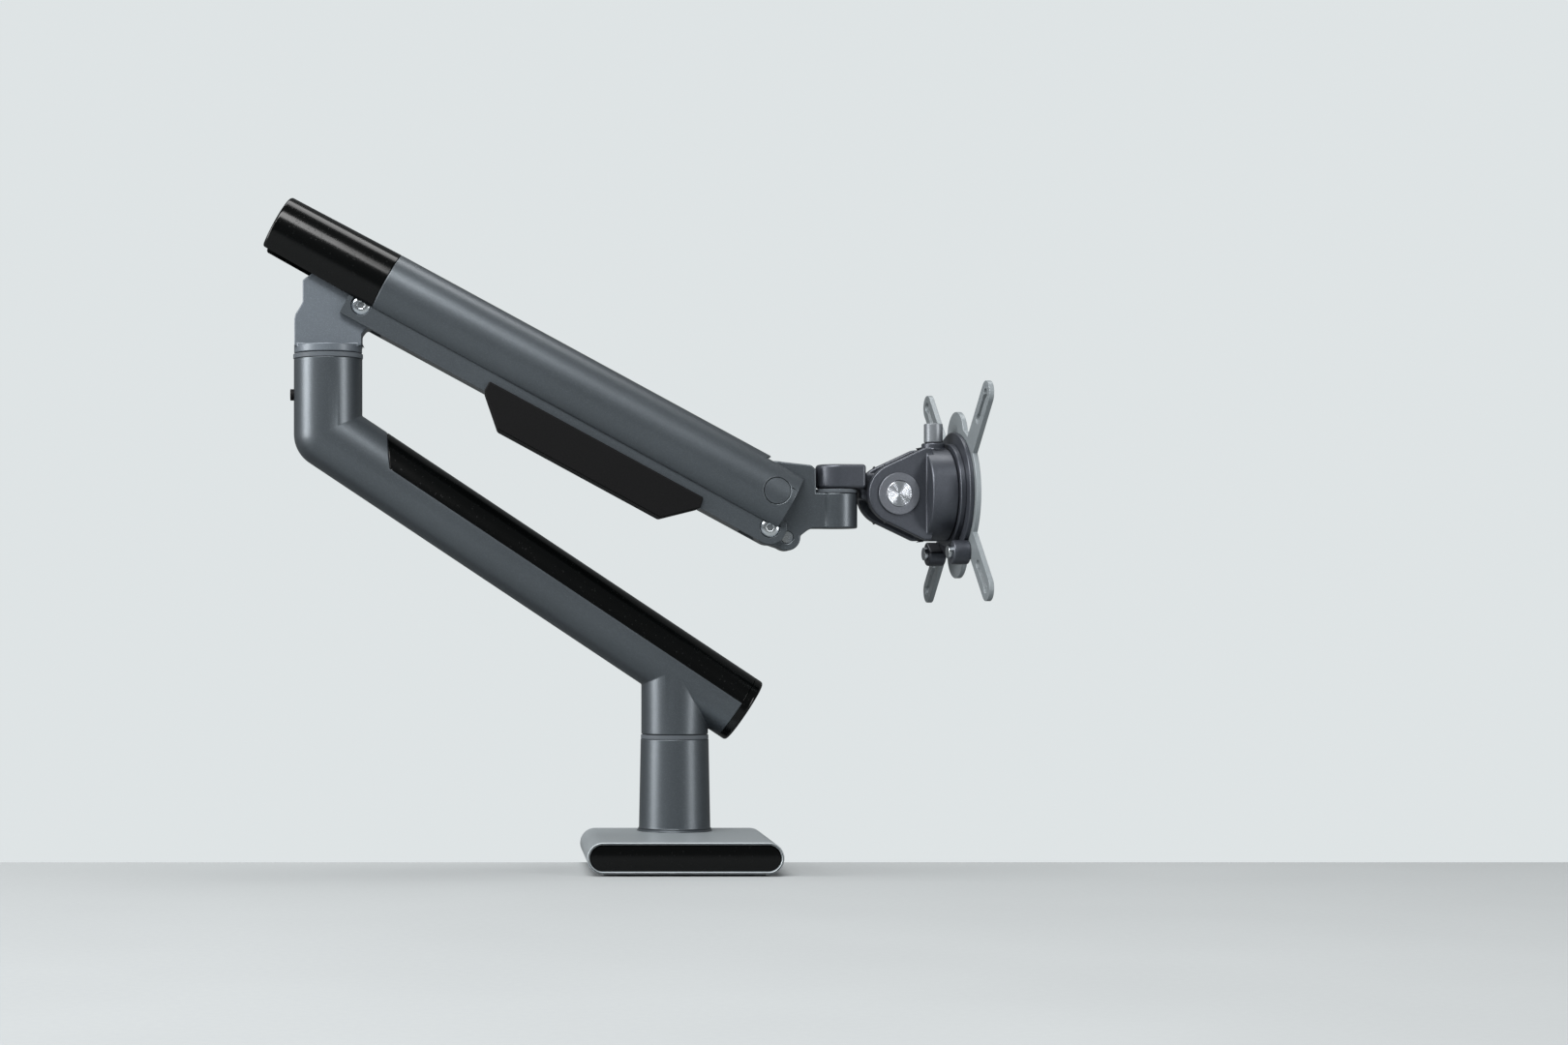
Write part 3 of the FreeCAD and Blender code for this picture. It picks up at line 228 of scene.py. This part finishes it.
def satin_paint(name, colour, roughness=0.41, metallic=0.65, flake=1.7):
    """A paint of that colour whose single flakes are brighter by the factor flake."""
    paint = Finish(name, metallic=metallic, specular_ior_level=0.5, coat_weight=0.2, coat_roughness=0.28)
    clouds = paint.noise(CLOUDS, 3.0)
    peel = paint.noise(PEEL, 2.0)
    flakes = paint.grains(FLAKES)
    even = paint.blend(clouds, shade(colour, 0.88), shade(colour, 1.12))
    glint = flakes.above(1 - FLAKE_SHARE) * 0.55
    paint.feed("Base Color", paint.blend(glint, even, shade(colour, flake)))
    paint.feed("Roughness", clouds * 0.06 + flakes * 0.07 + (roughness - 0.065))
    paint.relief(peel * 0.7 + flakes * 0.3, 0.014 * MM)
    return paint.material


arm_paint = satin_paint("satin_arm", tone(66, 71, 75), roughness=0.39)
bracket_paint = satin_paint("satin_bracket", tone(78, 84, 90), roughness=0.50, metallic=0.4)
head_paint = satin_paint("satin_head", tone(60, 63, 69), roughness=0.42)
base_paint = satin_paint("satin_base", tone(128, 134, 137), roughness=0.45, metallic=0.4, flake=1.3)
plate_paint = satin_paint("satin_plate", tone(112, 118, 121), roughness=0.47, metallic=0.4, flake=1.3)
ring_paint = satin_paint("satin_ring", tone(92, 95, 101), roughness=0.36, metallic=0.6)
knob_paint = satin_paint("satin_knob", tone(102, 106, 110), roughness=0.42, metallic=0.5, flake=1.3)
print("paints", arm_paint.name, bracket_paint.name, head_paint.name, base_paint.name)

# %% [markdown]
# ## Black plastics
# The sleeve, the covers and the end cap are polished black mouldings. They look clean, yet their
# gloss isn't perfect: there is a slow waviness from the mould, hairline scratches along the part
# and a little dust. The cable clip and the clamp's knob are black too, but with a fine matt grain.

# %% Gloss and matt black
# How many mould waves, specks of dust, hairlines and worn patches there are to a metre
WAVES, DUST, HAIRS, WEAR = 60.0, 1600.0, 220.0, 35.0
DUST_SHARE = 0.015
HAIR_ACROSS = 14.0


def gloss_plastic(name, colour, roughness=0.15):
    """A polished moulding, with the roughness of its smoothest places."""
    plastic = Finish(name, specular_ior_level=0.2, ior=1.5)
    waves = plastic.noise(WAVES, 1.0)
    dust = plastic.grains(DUST).above(1 - DUST_SHARE)
    drawn_out = plastic.stretched((1.0, HAIR_ACROSS, HAIR_ACROSS))
    hairs = plastic.noise(HAIRS, 4.0, drawn_out).above(0.66)
    plastic.feed("Base Color", plastic.blend(dust * 0.1, colour, shade(colour, 14)))
    plastic.feed("Roughness", waves * 0.05 + hairs * 0.03 + dust * 0.12 + roughness)
    plastic.relief(waves, 0.03 * MM)
    return plastic.material


def matt_plastic(name, colour, roughness=0.62, grain=1500.0):
    """A matt moulding whose surface has a fine grain, with that many pits to a metre."""
    plastic = Finish(name, specular_ior_level=0.12)
    pits = plastic.noise(grain, 3.0)
    wear = plastic.noise(WEAR, 4.0)
    plastic.feed("Base Color", plastic.blend(wear, shade(colour, 0.75), shade(colour, 1.35)))
    plastic.feed("Roughness", pits * 0.16 + wear * 0.08 + (roughness - 0.12))
    plastic.relief(pits, 0.06 * MM)
    return plastic.material


gloss_black = gloss_plastic("polished_black", tone(9, 10, 10))
matt_black = matt_plastic("matt_moulding", tone(10, 10, 11))
rubber = matt_plastic("pad_rubber", tone(34, 34, 35), roughness=0.85, grain=900.0)
acetal = matt_plastic("acetal_ring", tone(70, 74, 78), roughness=0.42, grain=2500.0)
print("plastics", gloss_black.name, matt_black.name, rubber.name, acetal.name)

# %% [markdown]
# ## Bare metals
# The screws are zinc plated, with a faint blue and yellow cast that drifts over each head. Pins
# are ground steel, the spring is darker, and the bushes and the lock tip are brass. Their fine
# machining marks are a noise stretched a long way along one direction.

# %% Metals
DRIFTS, MARKS = 120.0, 700.0


def bare_metal(name, colour, other, roughness=0.28, marks=(1.0, 1.0, 30.0)):
    """A metal that drifts between two colours. Its marks are pressed together by a factor on each axis."""
    metal = Finish(name, metallic=1.0)
    drift = metal.noise(DRIFTS, 2.0)
    lines = metal.noise(MARKS, 3.0, metal.stretched(marks))
    metal.feed("Base Color", metal.blend(drift, colour, other))
    metal.feed("Roughness", lines * 0.16 + drift * 0.08 + (roughness - 0.12))
    metal.relief(lines, 0.012 * MM)
    return metal.material


zinc = bare_metal("zinc_plate", tone(158, 170, 186), tone(190, 190, 184), roughness=0.24)
ground_steel = bare_metal("ground_pin", tone(176, 178, 182), tone(160, 163, 168), roughness=0.24)
spring_steel = bare_metal("spring_wire", tone(92, 94, 98), tone(70, 72, 78), roughness=0.36)
brass = bare_metal("brass_bush", tone(200, 172, 110), tone(184, 152, 92), roughness=0.30)
spun_metal = bare_metal("spun_cap", tone(176, 179, 184), tone(160, 164, 170), roughness=0.2, marks=(1, 1, 1))
print("metals", zinc.name, ground_steel.name, spring_steel.name, brass.name, spun_metal.name)

# %% [markdown]
# ## Which finish goes where
# Every node of the measured model is listed once, so no part keeps a plain colour, the ones
# inside the tubes included: they show when the arm is taken apart.

# %% Finish of every node
FINISHES = {
    arm_paint: ["lower_arm_tube", "upper_arm_tube", "link_channel", "front_knuckle", "pole",
                "front_pivot_caps"],
    bracket_paint: ["elbow_bracket", "clamp_bracket"],
    ring_paint: ["tilt_bolt_ring"],
    head_paint: ["wrist_link", "tilt_yoke", "hub_inner_ring", "hub_outer_ring", "latch_lugs"],
    base_paint: ["base_housing"],
    plate_paint: ["vesa_plate"],
    knob_paint: ["thumb_screw"],
    gloss_black: ["arm_sleeve", "lower_cable_cover", "lower_end_cap", "front_cover", "rear_cover"],
    matt_black: ["cable_clip", "clamp_knob", "elbow_plug"],
    rubber: ["base_pad", "clamp_pad_rubber"],
    acetal: ["pole_washer", "elbow_washer", "wrist_washer", "lower_bush", "elbow_bush", "tilt_washers"],
    zinc: ["link_screws", "latch_screws", "pole_screws", "bracket_screws", "lobe_pin", "clamp_screw",
           "clamp_pad", "tilt_nut"],
    ground_steel: ["swivel_spindle", "elbow_spindle", "rear_pivot_pin", "front_pivot_pin", "wrist_pin",
                   "stop_pin", "spring_piston", "tension_nut", "tension_screw", "rotor_spindle", "tilt_bolt"],
    spring_steel: ["main_spring"],
    brass: ["drive_lug", "lock_tip", "rear_pivot_bush", "front_pivot_bush"],
    spun_metal: ["tilt_bolt_cap"],
}
finish_of = {node: finish for finish, names in FINISHES.items() for node in names}
for name, obj in nodes.items():
    obj.data.materials.clear()
    obj.data.materials.append(finish_of[name])
print(len(finish_of), "nodes have a finish, of", len(nodes))

# %% [markdown]
# ## Eased edges
# No real casting has a knife edge. The corners of the measured model are sharp, so a copy of a
# visible node gets a small round on each sharp edge with a Bevel modifier, and the copy stands
# for the node. Rounding in the measured model itself would work too, but it is slow and breaks
# easily where three faces meet.

# %% Read a mesh's numbers
def numbers(items, name, width=1, kind=np.float32):
    """One attribute of many mesh items as an array, with width numbers to an item."""
    values = np.empty(len(items) * width, kind)
    items.foreach_get(name, values)
    return values.reshape(-1, width) if width > 1 else values


# %% Shade the rounds
def shade_rounds(obj, source):
    """Shades a rounded copy. Where a vertex still lies on one of the old faces it takes the true
    surface direction of the measured model. On a round it takes the mean direction of its faces,
    weighted by their areas."""
    mesh = obj.data
    copied = obj.modifiers.new("copied", "DATA_TRANSFER")
    copied.object = source
    copied.use_loop_data = True
    copied.data_types_loops = {"CUSTOM_NORMAL"}
    copied.loop_mapping = "POLYINTERP_NEAREST"
    mesh.shade_smooth()
    shaded = obj.evaluated_get(bpy.context.evaluated_depsgraph_get()).to_mesh()
    true_normals = numbers(shaded.corner_normals, "vector", 3)
    obj.modifiers.clear()
    corners = numbers(mesh.loops, "vertex_index", 1, np.int32)
    sides = numbers(mesh.polygons, "loop_total", 1, np.int32)
    areas = np.repeat(numbers(mesh.polygons, "area"), sides)
    facing = np.repeat(numbers(mesh.polygons, "normal", 3), sides, axis=0)
    on_round = np.repeat(numbers(mesh.polygons, "material_index", 1, np.int32) == 1, sides)
    normals = np.zeros((len(mesh.vertices), 3))
    old = ~on_round
    np.add.at(normals, corners[old], areas[old, None] * true_normals[old])
    touches_old = np.zeros(len(mesh.vertices), bool)
    touches_old[corners[old]] = True
    new = on_round & ~touches_old[corners]
    np.add.at(normals, corners[new], areas[new, None] * facing[new])
    normals /= np.maximum(np.linalg.norm(normals, axis=1, keepdims=True), 1e-20)
    mesh.polygons.foreach_set("material_index", np.zeros(len(mesh.polygons), np.int32))
    mesh.normals_split_custom_set_from_vertices(normals)


# %% Put a piece in a node's place
def stand_in(obj, node, rides=True):
    """Hides the node, which keeps its material, and, if it rides, makes the piece move with its body."""
    if rides:
        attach(obj, nodes[node]["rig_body"])
    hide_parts(node)


# %% Copy a node and round its edges
JOIN_WITHIN = 0.002 * MM
FLAT_WITHIN = math.radians(0.1)
SHARP_FROM = math.radians(20)
ROUND_STEPS = 4


def eased(node, width):
    """A copy of a node, with its loose triangles joined, flat faces merged and sharp edges rounded.

    width is the round's size in millimetres."""
    mesh = nodes[node].data.copy()
    mesh.attributes.remove(mesh.attributes["custom_normal"])
    mesh.materials.append(finish_of[node])
    shape = bmesh.new()
    shape.from_mesh(mesh)
    bmesh.ops.remove_doubles(shape, verts=shape.verts, dist=JOIN_WITHIN)
    bmesh.ops.dissolve_limit(shape, angle_limit=FLAT_WITHIN, verts=shape.verts, edges=shape.edges)
    shape.to_mesh(mesh)
    open_edges = sum(1 for edge in shape.edges if not edge.is_manifold)
    shape.free()
    obj = bpy.data.objects.new(node + "_eased", mesh)
    bpy.context.scene.collection.objects.link(obj)
    round_off = obj.modifiers.new("round", "BEVEL")
    round_off.width = width * MM
    round_off.segments = ROUND_STEPS
    round_off.limit_method = "ANGLE"
    round_off.angle_limit = SHARP_FROM
    round_off.use_clamp_overlap = False
    round_off.material = 1
    rounded = bpy.data.meshes.new_from_object(obj.evaluated_get(bpy.context.evaluated_depsgraph_get()))
    obj.modifiers.clear()
    obj.data = rounded
    rounded.name = obj.name
    shade_rounds(obj, nodes[node])
    rounded.materials.pop(index=1)
    stand_in(obj, node)
    print(node, "eased by", width, "mm,", len(rounded.polygons), "faces,", open_edges, "open edges")


EASED = {
    "lower_arm_tube": 0.5, "upper_arm_tube": 0.6, "link_channel": 0.2, "front_knuckle": 0.9, "pole": 0.5,
    "elbow_bracket": 0.7, "wrist_link": 1.8, "tilt_yoke": 0.9, "hub_inner_ring": 0.5, "hub_outer_ring": 0.5,
    "latch_lugs": 0.8, "base_housing": 0.8, "vesa_plate": 0.25, "thumb_screw": 0.5,
    "lower_cable_cover": 0.3, "cable_clip": 0.8,
    "clamp_knob": 0.6, "clamp_bracket": 0.6, "latch_screws": 0.2, "tilt_bolt_ring": 0.4,
    "elbow_washer": 0.3, "wrist_washer": 0.3, "pole_washer": 0.3, "clamp_pad": 0.4,
}
for node, width in EASED.items():
    eased(node, width)

# %% [markdown]
# ## Turned and moulded surfaces
# Two kinds of piece need a better surface than a flat face. The cap over the tilt bolt is turned
# on a lathe, and its fine rings throw a bow tie of light. The two covers at the base's ends are
# moulded with a slight crown, which bends the reflections. Each is a profile carried round an
# outline: a circle for the cap, and a slot shape for the covers. A flat disc with a bump map
# would be quicker, but its rings are lost where the map is finer than the render.

# %% Carry a profile round an outline
JOIN_POINTS = 0.001 * MM
CREASE_FROM = math.radians(50)


def carried(cores, outward, radii, heights, axis):
    """The points of a closed surface. The point at profile step i and outline step j is the core
    point j, plus the radius i along the outward direction j, plus the height i along the axis."""
    return cores[None] + radii[:, None, None] * outward + heights[:, None, None] * np.array(axis)


def made_of(name, surfaces, node, rides=True):
    """One object of several carried surfaces, in place of a node and with its finish.

    Points that coincide are joined, so a profile that starts and ends with no radius is closed."""
    points, faces, start = [], [], 0
    for surface in surfaces:
        rows, columns = surface.shape[:2]
        here = start + np.arange((rows - 1) * columns).reshape(rows - 1, columns)
        beside = np.roll(here, -1, axis=1)
        faces.append(np.stack([here, beside, beside + columns, here + columns], axis=-1).reshape(-1, 4))
        points.append(surface.reshape(-1, 3))
        start += rows * columns
    mesh = bpy.data.meshes.new(name)
    mesh.from_pydata(np.concatenate(points), [], np.concatenate(faces))
    shape = bmesh.new()
    shape.from_mesh(mesh)
    bmesh.ops.remove_doubles(shape, verts=shape.verts, dist=JOIN_POINTS)
    bmesh.ops.recalc_face_normals(shape, faces=shape.faces)
    shape.to_mesh(mesh)
    shape.free()
    mesh.shade_smooth()
    mesh.set_sharp_from_angle(angle=CREASE_FROM)
    mesh.materials.append(finish_of[node])
    obj = bpy.data.objects.new(name, mesh)
    bpy.context.scene.collection.objects.link(obj)
    stand_in(obj, node, rides)
    print(name, "has", len(mesh.polygons), "faces and stands for", node)
    return obj


# %% Cap over the tilt bolt
HEAD_YAW = math.radians(8.5)
CAP_RADIUS = 6.75 * MM
CAP_THICK = 1.42 * MM
CAP_ROUND = 0.35 * MM
RING_PITCH = 0.3 * MM
RING_DEPTH = 0.048 * MM
FACE_STEPS = 140
OUTLINE_STEPS = 96
cap_low, cap_high = (np.array(corner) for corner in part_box("tilt_bolt_cap"))
cap_centre = (cap_low + cap_high) / 2
cap_axis = np.array([math.sin(HEAD_YAW), -math.cos(HEAD_YAW), 0.0])
turn = np.linspace(0, 2 * math.pi, OUTLINE_STEPS, endpoint=False)
level = np.array([math.cos(HEAD_YAW), math.sin(HEAD_YAW), 0.0])
upright = np.array([0.0, 0.0, 1.0])
spokes = np.cos(turn)[:, None] * level + np.sin(turn)[:, None] * upright
face_radii = np.linspace(0, CAP_RADIUS - CAP_ROUND, FACE_STEPS)
ripple = (1 - np.cos(2 * math.pi * face_radii / RING_PITCH)) / 2
face_heights = CAP_THICK / 2 - RING_DEPTH * ripple
rim = np.linspace(0, math.pi / 2, 5)
rim_radii = CAP_RADIUS - CAP_ROUND + CAP_ROUND * np.sin(rim)
rim_heights = CAP_THICK / 2 - CAP_ROUND + CAP_ROUND * np.cos(rim)
cap_radii = np.concatenate([face_radii, rim_radii, [CAP_RADIUS, 0.0]])
cap_heights = np.concatenate([face_heights, rim_heights, [-CAP_THICK / 2, -CAP_THICK / 2]])
cap_cores = np.repeat(cap_centre[None], len(turn), axis=0)
made_of("turned_cap", [carried(cap_cores, spokes, cap_radii, cap_heights, cap_axis)], "tilt_bolt_cap")

# %% Crowned covers at both ends of the base
CROWN = 0.7 * MM
COVER_ROUND = 0.5 * MM
CROWN_STEPS = 10


def crowned_cover(name, node, side):
    """A slot-shaped cover with a crown towards the side, which is -1 for the front and 1 for the rear."""
    low, high = (np.array(corner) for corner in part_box(node))
    centre, half = (low + high) / 2, (high - low) / 2
    half_step = math.pi / OUTLINE_STEPS
    angle = np.linspace(0, 2 * math.pi, OUTLINE_STEPS, endpoint=False) + half_step
    outward = np.stack([np.cos(angle), np.zeros(OUTLINE_STEPS), np.sin(angle)], axis=1)
    cores = centre + np.sign(outward[:, :1]) * np.array([half[0] - half[2], 0, 0])
    inner = np.linspace(0, half[2] - COVER_ROUND, CROWN_STEPS)
    bend = np.linspace(0, math.pi / 2, 5)
    radii = np.concatenate([inner, half[2] - COVER_ROUND + COVER_ROUND * np.sin(bend), [half[2], 0]])
    crown = half[1] - CROWN * 0.5 + CROWN * (1 - (inner / half[2]) ** 2)
    edge = crown[-1] - COVER_ROUND + COVER_ROUND * np.cos(bend)
    heights = np.concatenate([crown, edge, [-half[1], -half[1]]])
    made_of(name, [carried(cores, outward, radii, heights, (0, side, 0))], node)


crowned_cover("front_cover_crowned", "front_cover", -1)
crowned_cover("rear_cover_crowned", "rear_cover", 1)

# %% [markdown]
# ## Button-head screws
# The link's two screws have domed zinc heads with a hexagon socket, sunk in the ends of the
# channel. A dome throws a small bright glint, and a flat disc can't. The profile runs from the
# socket's floor over the dome to the shank, and on to the other end. The socket's rows follow a
# hexagon and the rest follow a circle, so one surface makes a whole screw.

# %% Button-head screws
SOCKET_CORNER = 2.0 * MM
SOCKET_DEPTH = 1.1 * MM
SOCKET_EDGE = 0.15 * MM
DOME_START = SOCKET_CORNER + 0.4 * MM
DOME_DROP = 0.9 * MM
SCREW_HEAD = 5.0 * MM
SCREW_SHANK = 3.0 * MM
HEAD_DEPTH = 1.7 * MM
SCREW_STEPS = 72
SOCKET_ROWS = 4


def button_screw(centre, half_length):
    """A screw along Y with a button head at each end. half_length is from its middle to a dome's top."""
    angle = np.linspace(0, 2 * math.pi, SCREW_STEPS, endpoint=False)
    circle = np.stack([np.cos(angle), np.zeros(SCREW_STEPS), np.sin(angle)], axis=1)
    to_flat = math.cos(math.pi / 6) / np.cos(angle % (math.pi / 3) - math.pi / 6)
    hexagon = circle * to_flat[:, None]
    share = np.linspace(0, 1, 9)
    socket = [0, SOCKET_CORNER, SOCKET_CORNER, SOCKET_CORNER + SOCKET_EDGE]
    dome = DOME_START + (SCREW_HEAD - DOME_START) * share
    radii = np.array([*socket, *dome, SCREW_HEAD, SCREW_SHANK])
    socket_depths = [SOCKET_DEPTH, SOCKET_DEPTH, 0.1 * MM, 0]
    depths = np.array([*socket_depths, *(DOME_DROP * share ** 2), HEAD_DEPTH, HEAD_DEPTH])
    outward = np.repeat(circle[None], len(radii), axis=0)
    outward[:SOCKET_ROWS] = hexagon
    heights = half_length - depths
    cores = np.repeat(np.array(centre)[None], SCREW_STEPS, axis=0)
    return carried(cores, np.concatenate([outward, outward[::-1]]), np.concatenate([radii, radii[::-1]]),
                   np.concatenate([heights, -heights[::-1]]), (0, 1, 0))


screws_low, screws_high = (np.array(corner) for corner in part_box("link_screws"))
screw_half = (screws_high[1] - screws_low[1]) / 2
screw_places = [(screws_low[0] + SCREW_HEAD, 0, screws_high[2] - SCREW_HEAD),
                (screws_high[0] - SCREW_HEAD, 0, screws_low[2] + SCREW_HEAD)]
made_of("button_screws", [button_screw(place, screw_half) for place in screw_places], "link_screws")

# %% [markdown]
# ## Main spring
# The piston squeezes one end of the spring and the tension nut the other, and the middle stays
# where it is in the tube. The spring is made as two halves of one coil, which are wound in
# place and don't move or bend. Its end turns lie close together, as on a real spring with
# squared ends.

# %% Wind the spring in two halves
TURNS = 15
CLOSED_PITCH = 1.1
STEPS_TO_A_TURN = 24
WIRE_SIDES = 12
spring_slide = next(j for j in frame["joints"] if j["name"] == "piston_slide")
spring_axis = np.array(spring_slide["axis"])
nut_low, nut_high = (np.array(corner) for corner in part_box("tension_nut"))
on_axis = (nut_low + nut_high) / 2
spring_points = numbers(nodes["main_spring"].data.vertices, "co", 3) - on_axis
along = spring_points @ spring_axis
from_axis = np.linalg.norm(spring_points - along[:, None] * spring_axis, axis=1)
wire = (from_axis.max() - from_axis.min()) / 2
spring_radius = from_axis.max() - wire
spring_start, spring_end = along.min(), along.max()
closed = 2 * wire * CLOSED_PITCH
free_pitch = (spring_end - spring_start - 2 * wire - 2 * closed) / (TURNS - 2)


def half_coil(name, first, last, still, pushed):
    """The coil from one turn to another. The arguments still and pushed are not used.

    At turn t the wire's centre has gone round the axis t times. It climbs by the closed pitch in the first
    and last turn and by the free pitch between them. A circle across the wire makes the surface."""
    turns = np.linspace(first, last, round((last - first) * STEPS_TO_A_TURN) + 1)
    turns = np.concatenate([[first], turns, [last]])
    climb = closed * (np.clip(turns, 0, 1) + np.clip(turns - TURNS + 1, 0, 1))
    heights = spring_start + wire + climb + free_pitch * np.clip(turns - 1, 0, TURNS - 2)
    sideways = np.array([0.0, 1.0, 0.0])
    upward = np.cross(spring_axis, sideways)
    round_axis = 2 * math.pi * turns[:, None]
    radial = np.cos(round_axis) * sideways + np.sin(round_axis) * upward
    across = np.linspace(0, 2 * math.pi, WIRE_SIDES, endpoint=False)[None, :, None]
    thick = np.full(len(turns), wire)
    thick[[0, -1]] = 0
    centres = on_axis + heights[:, None] * spring_axis + spring_radius * radial
    circle = np.cos(across) * radial[:, None] + np.sin(across) * spring_axis
    piece = made_of(name, [centres[:, None] + thick[:, None, None] * circle], "main_spring", rides=False)
    on_axis + still * spring_axis
    on_axis + pushed * spring_axis
    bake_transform(piece)


spring_middle = (spring_start + spring_end) / 2
end_turn = 2 * wire + closed
half_coil("spring_rear_half", 0, TURNS / 2, spring_middle, spring_start + end_turn)
half_coil("spring_front_half", TURNS / 2, TURNS, spring_middle, spring_end - end_turn)
print("wire", round(2 * wire / MM, 2), "mm, free pitch", round(free_pitch / MM, 2), "mm")

# %% [markdown]
# ## Floor, light and surroundings
# A plain pale floor ends in the clamp's jaw, as the desk would, so the arm is held the way it is
# in use. A window on the left and a weaker one on the right draw the two long streaks on upright
# tubes. Two lights above shape the sloping tubes, and a small lamp gives the turned cap its
# glints. The pale surroundings are dimmer as a light than they look, which keeps the darks dark.

# %% Floor and lights
def area_light(name, place, target, size, power):
    """A soft light of that width and height in metres at the place, turned towards the target."""
    data = bpy.data.lights.new(name, "AREA")
    data.shape = "RECTANGLE"
    data.size, data.size_y = size
    data.energy = power
    light = bpy.data.objects.new(name, data)
    light.location = place
    look = np.array(target) - np.array(place)
    light.rotation_euler = Vector(look).to_track_quat("-Z", "Y").to_euler()
    bpy.context.scene.collection.objects.link(light)


FLOOR_SIZE = 4.0
FLOOR_EDGE = 3 * MM
floor_finish = Finish("floor", specular_ior_level=0.2)
floor_clouds = floor_finish.noise(6.0)
floor_finish.feed("Base Color", floor_finish.blend(floor_clouds, tone(138, 141, 142), tone(144, 147, 148)))
floor_finish.feed("Roughness", floor_finish.noise(300.0) * 0.1 + 0.6)
floor_mesh = bpy.data.meshes.new("floor")
corners = [(-FLOOR_SIZE, -FLOOR_SIZE, 0), (FLOOR_SIZE, -FLOOR_SIZE, 0),
           (FLOOR_SIZE, FLOOR_EDGE, 0), (-FLOOR_SIZE, FLOOR_EDGE, 0)]
floor_mesh.from_pydata(corners, [], [(0, 1, 2, 3)])
floor_mesh.materials.append(floor_finish.material)
floor = bpy.data.objects.new("floor", floor_mesh)
bpy.context.scene.collection.objects.link(floor)

middle = (0, 0, 0.2)
area_light("window", (-2.0, -0.5, 0.6), middle, (0.8, 1.5), 55)
area_light("right_window", (1.6, -1.2, 0.5), middle, (0.5, 1.2), 24)
area_light("ceiling", (-0.4, -1.2, 1.7), middle, (1.5, 0.7), 62)
area_light("overhead", (0.1, 0.6, 2.2), middle, (1.6, 0.8), 24)
area_light("lamp", (-1.2, -1.3, 1.3), middle, (0.3, 0.3), 9)

# %% Surroundings
WALL = (0.735, 0.775, 0.785, 1.0)
SEEN_STRENGTH = 1.0
LIGHTING_STRENGTH = 0.22

world = bpy.data.worlds.new("surroundings")
world.use_nodes = True
world_nodes, world_links = world.node_tree.nodes, world.node_tree.links
seen = world_nodes["Background"]
lighting = world_nodes.new("ShaderNodeBackground")
for background, strength in ((seen, SEEN_STRENGTH), (lighting, LIGHTING_STRENGTH)):
    background.inputs["Color"].default_value = WALL
    background.inputs["Strength"].default_value = strength
ray = world_nodes.new("ShaderNodeLightPath")
either = world_nodes.new("ShaderNodeMixShader")
world_links.new(ray.outputs["Is Camera Ray"], either.inputs[0])
world_links.new(lighting.outputs[0], either.inputs[1])
world_links.new(seen.outputs[0], either.inputs[2])
world_links.new(either.outputs[0], world_nodes["World Output"].inputs["Surface"])
bpy.context.scene.world = world
bpy.context.scene.view_settings.view_transform = "Standard"
print("surroundings seen at", SEEN_STRENGTH, "and lighting at", LIGHTING_STRENGTH)

# %% [markdown]
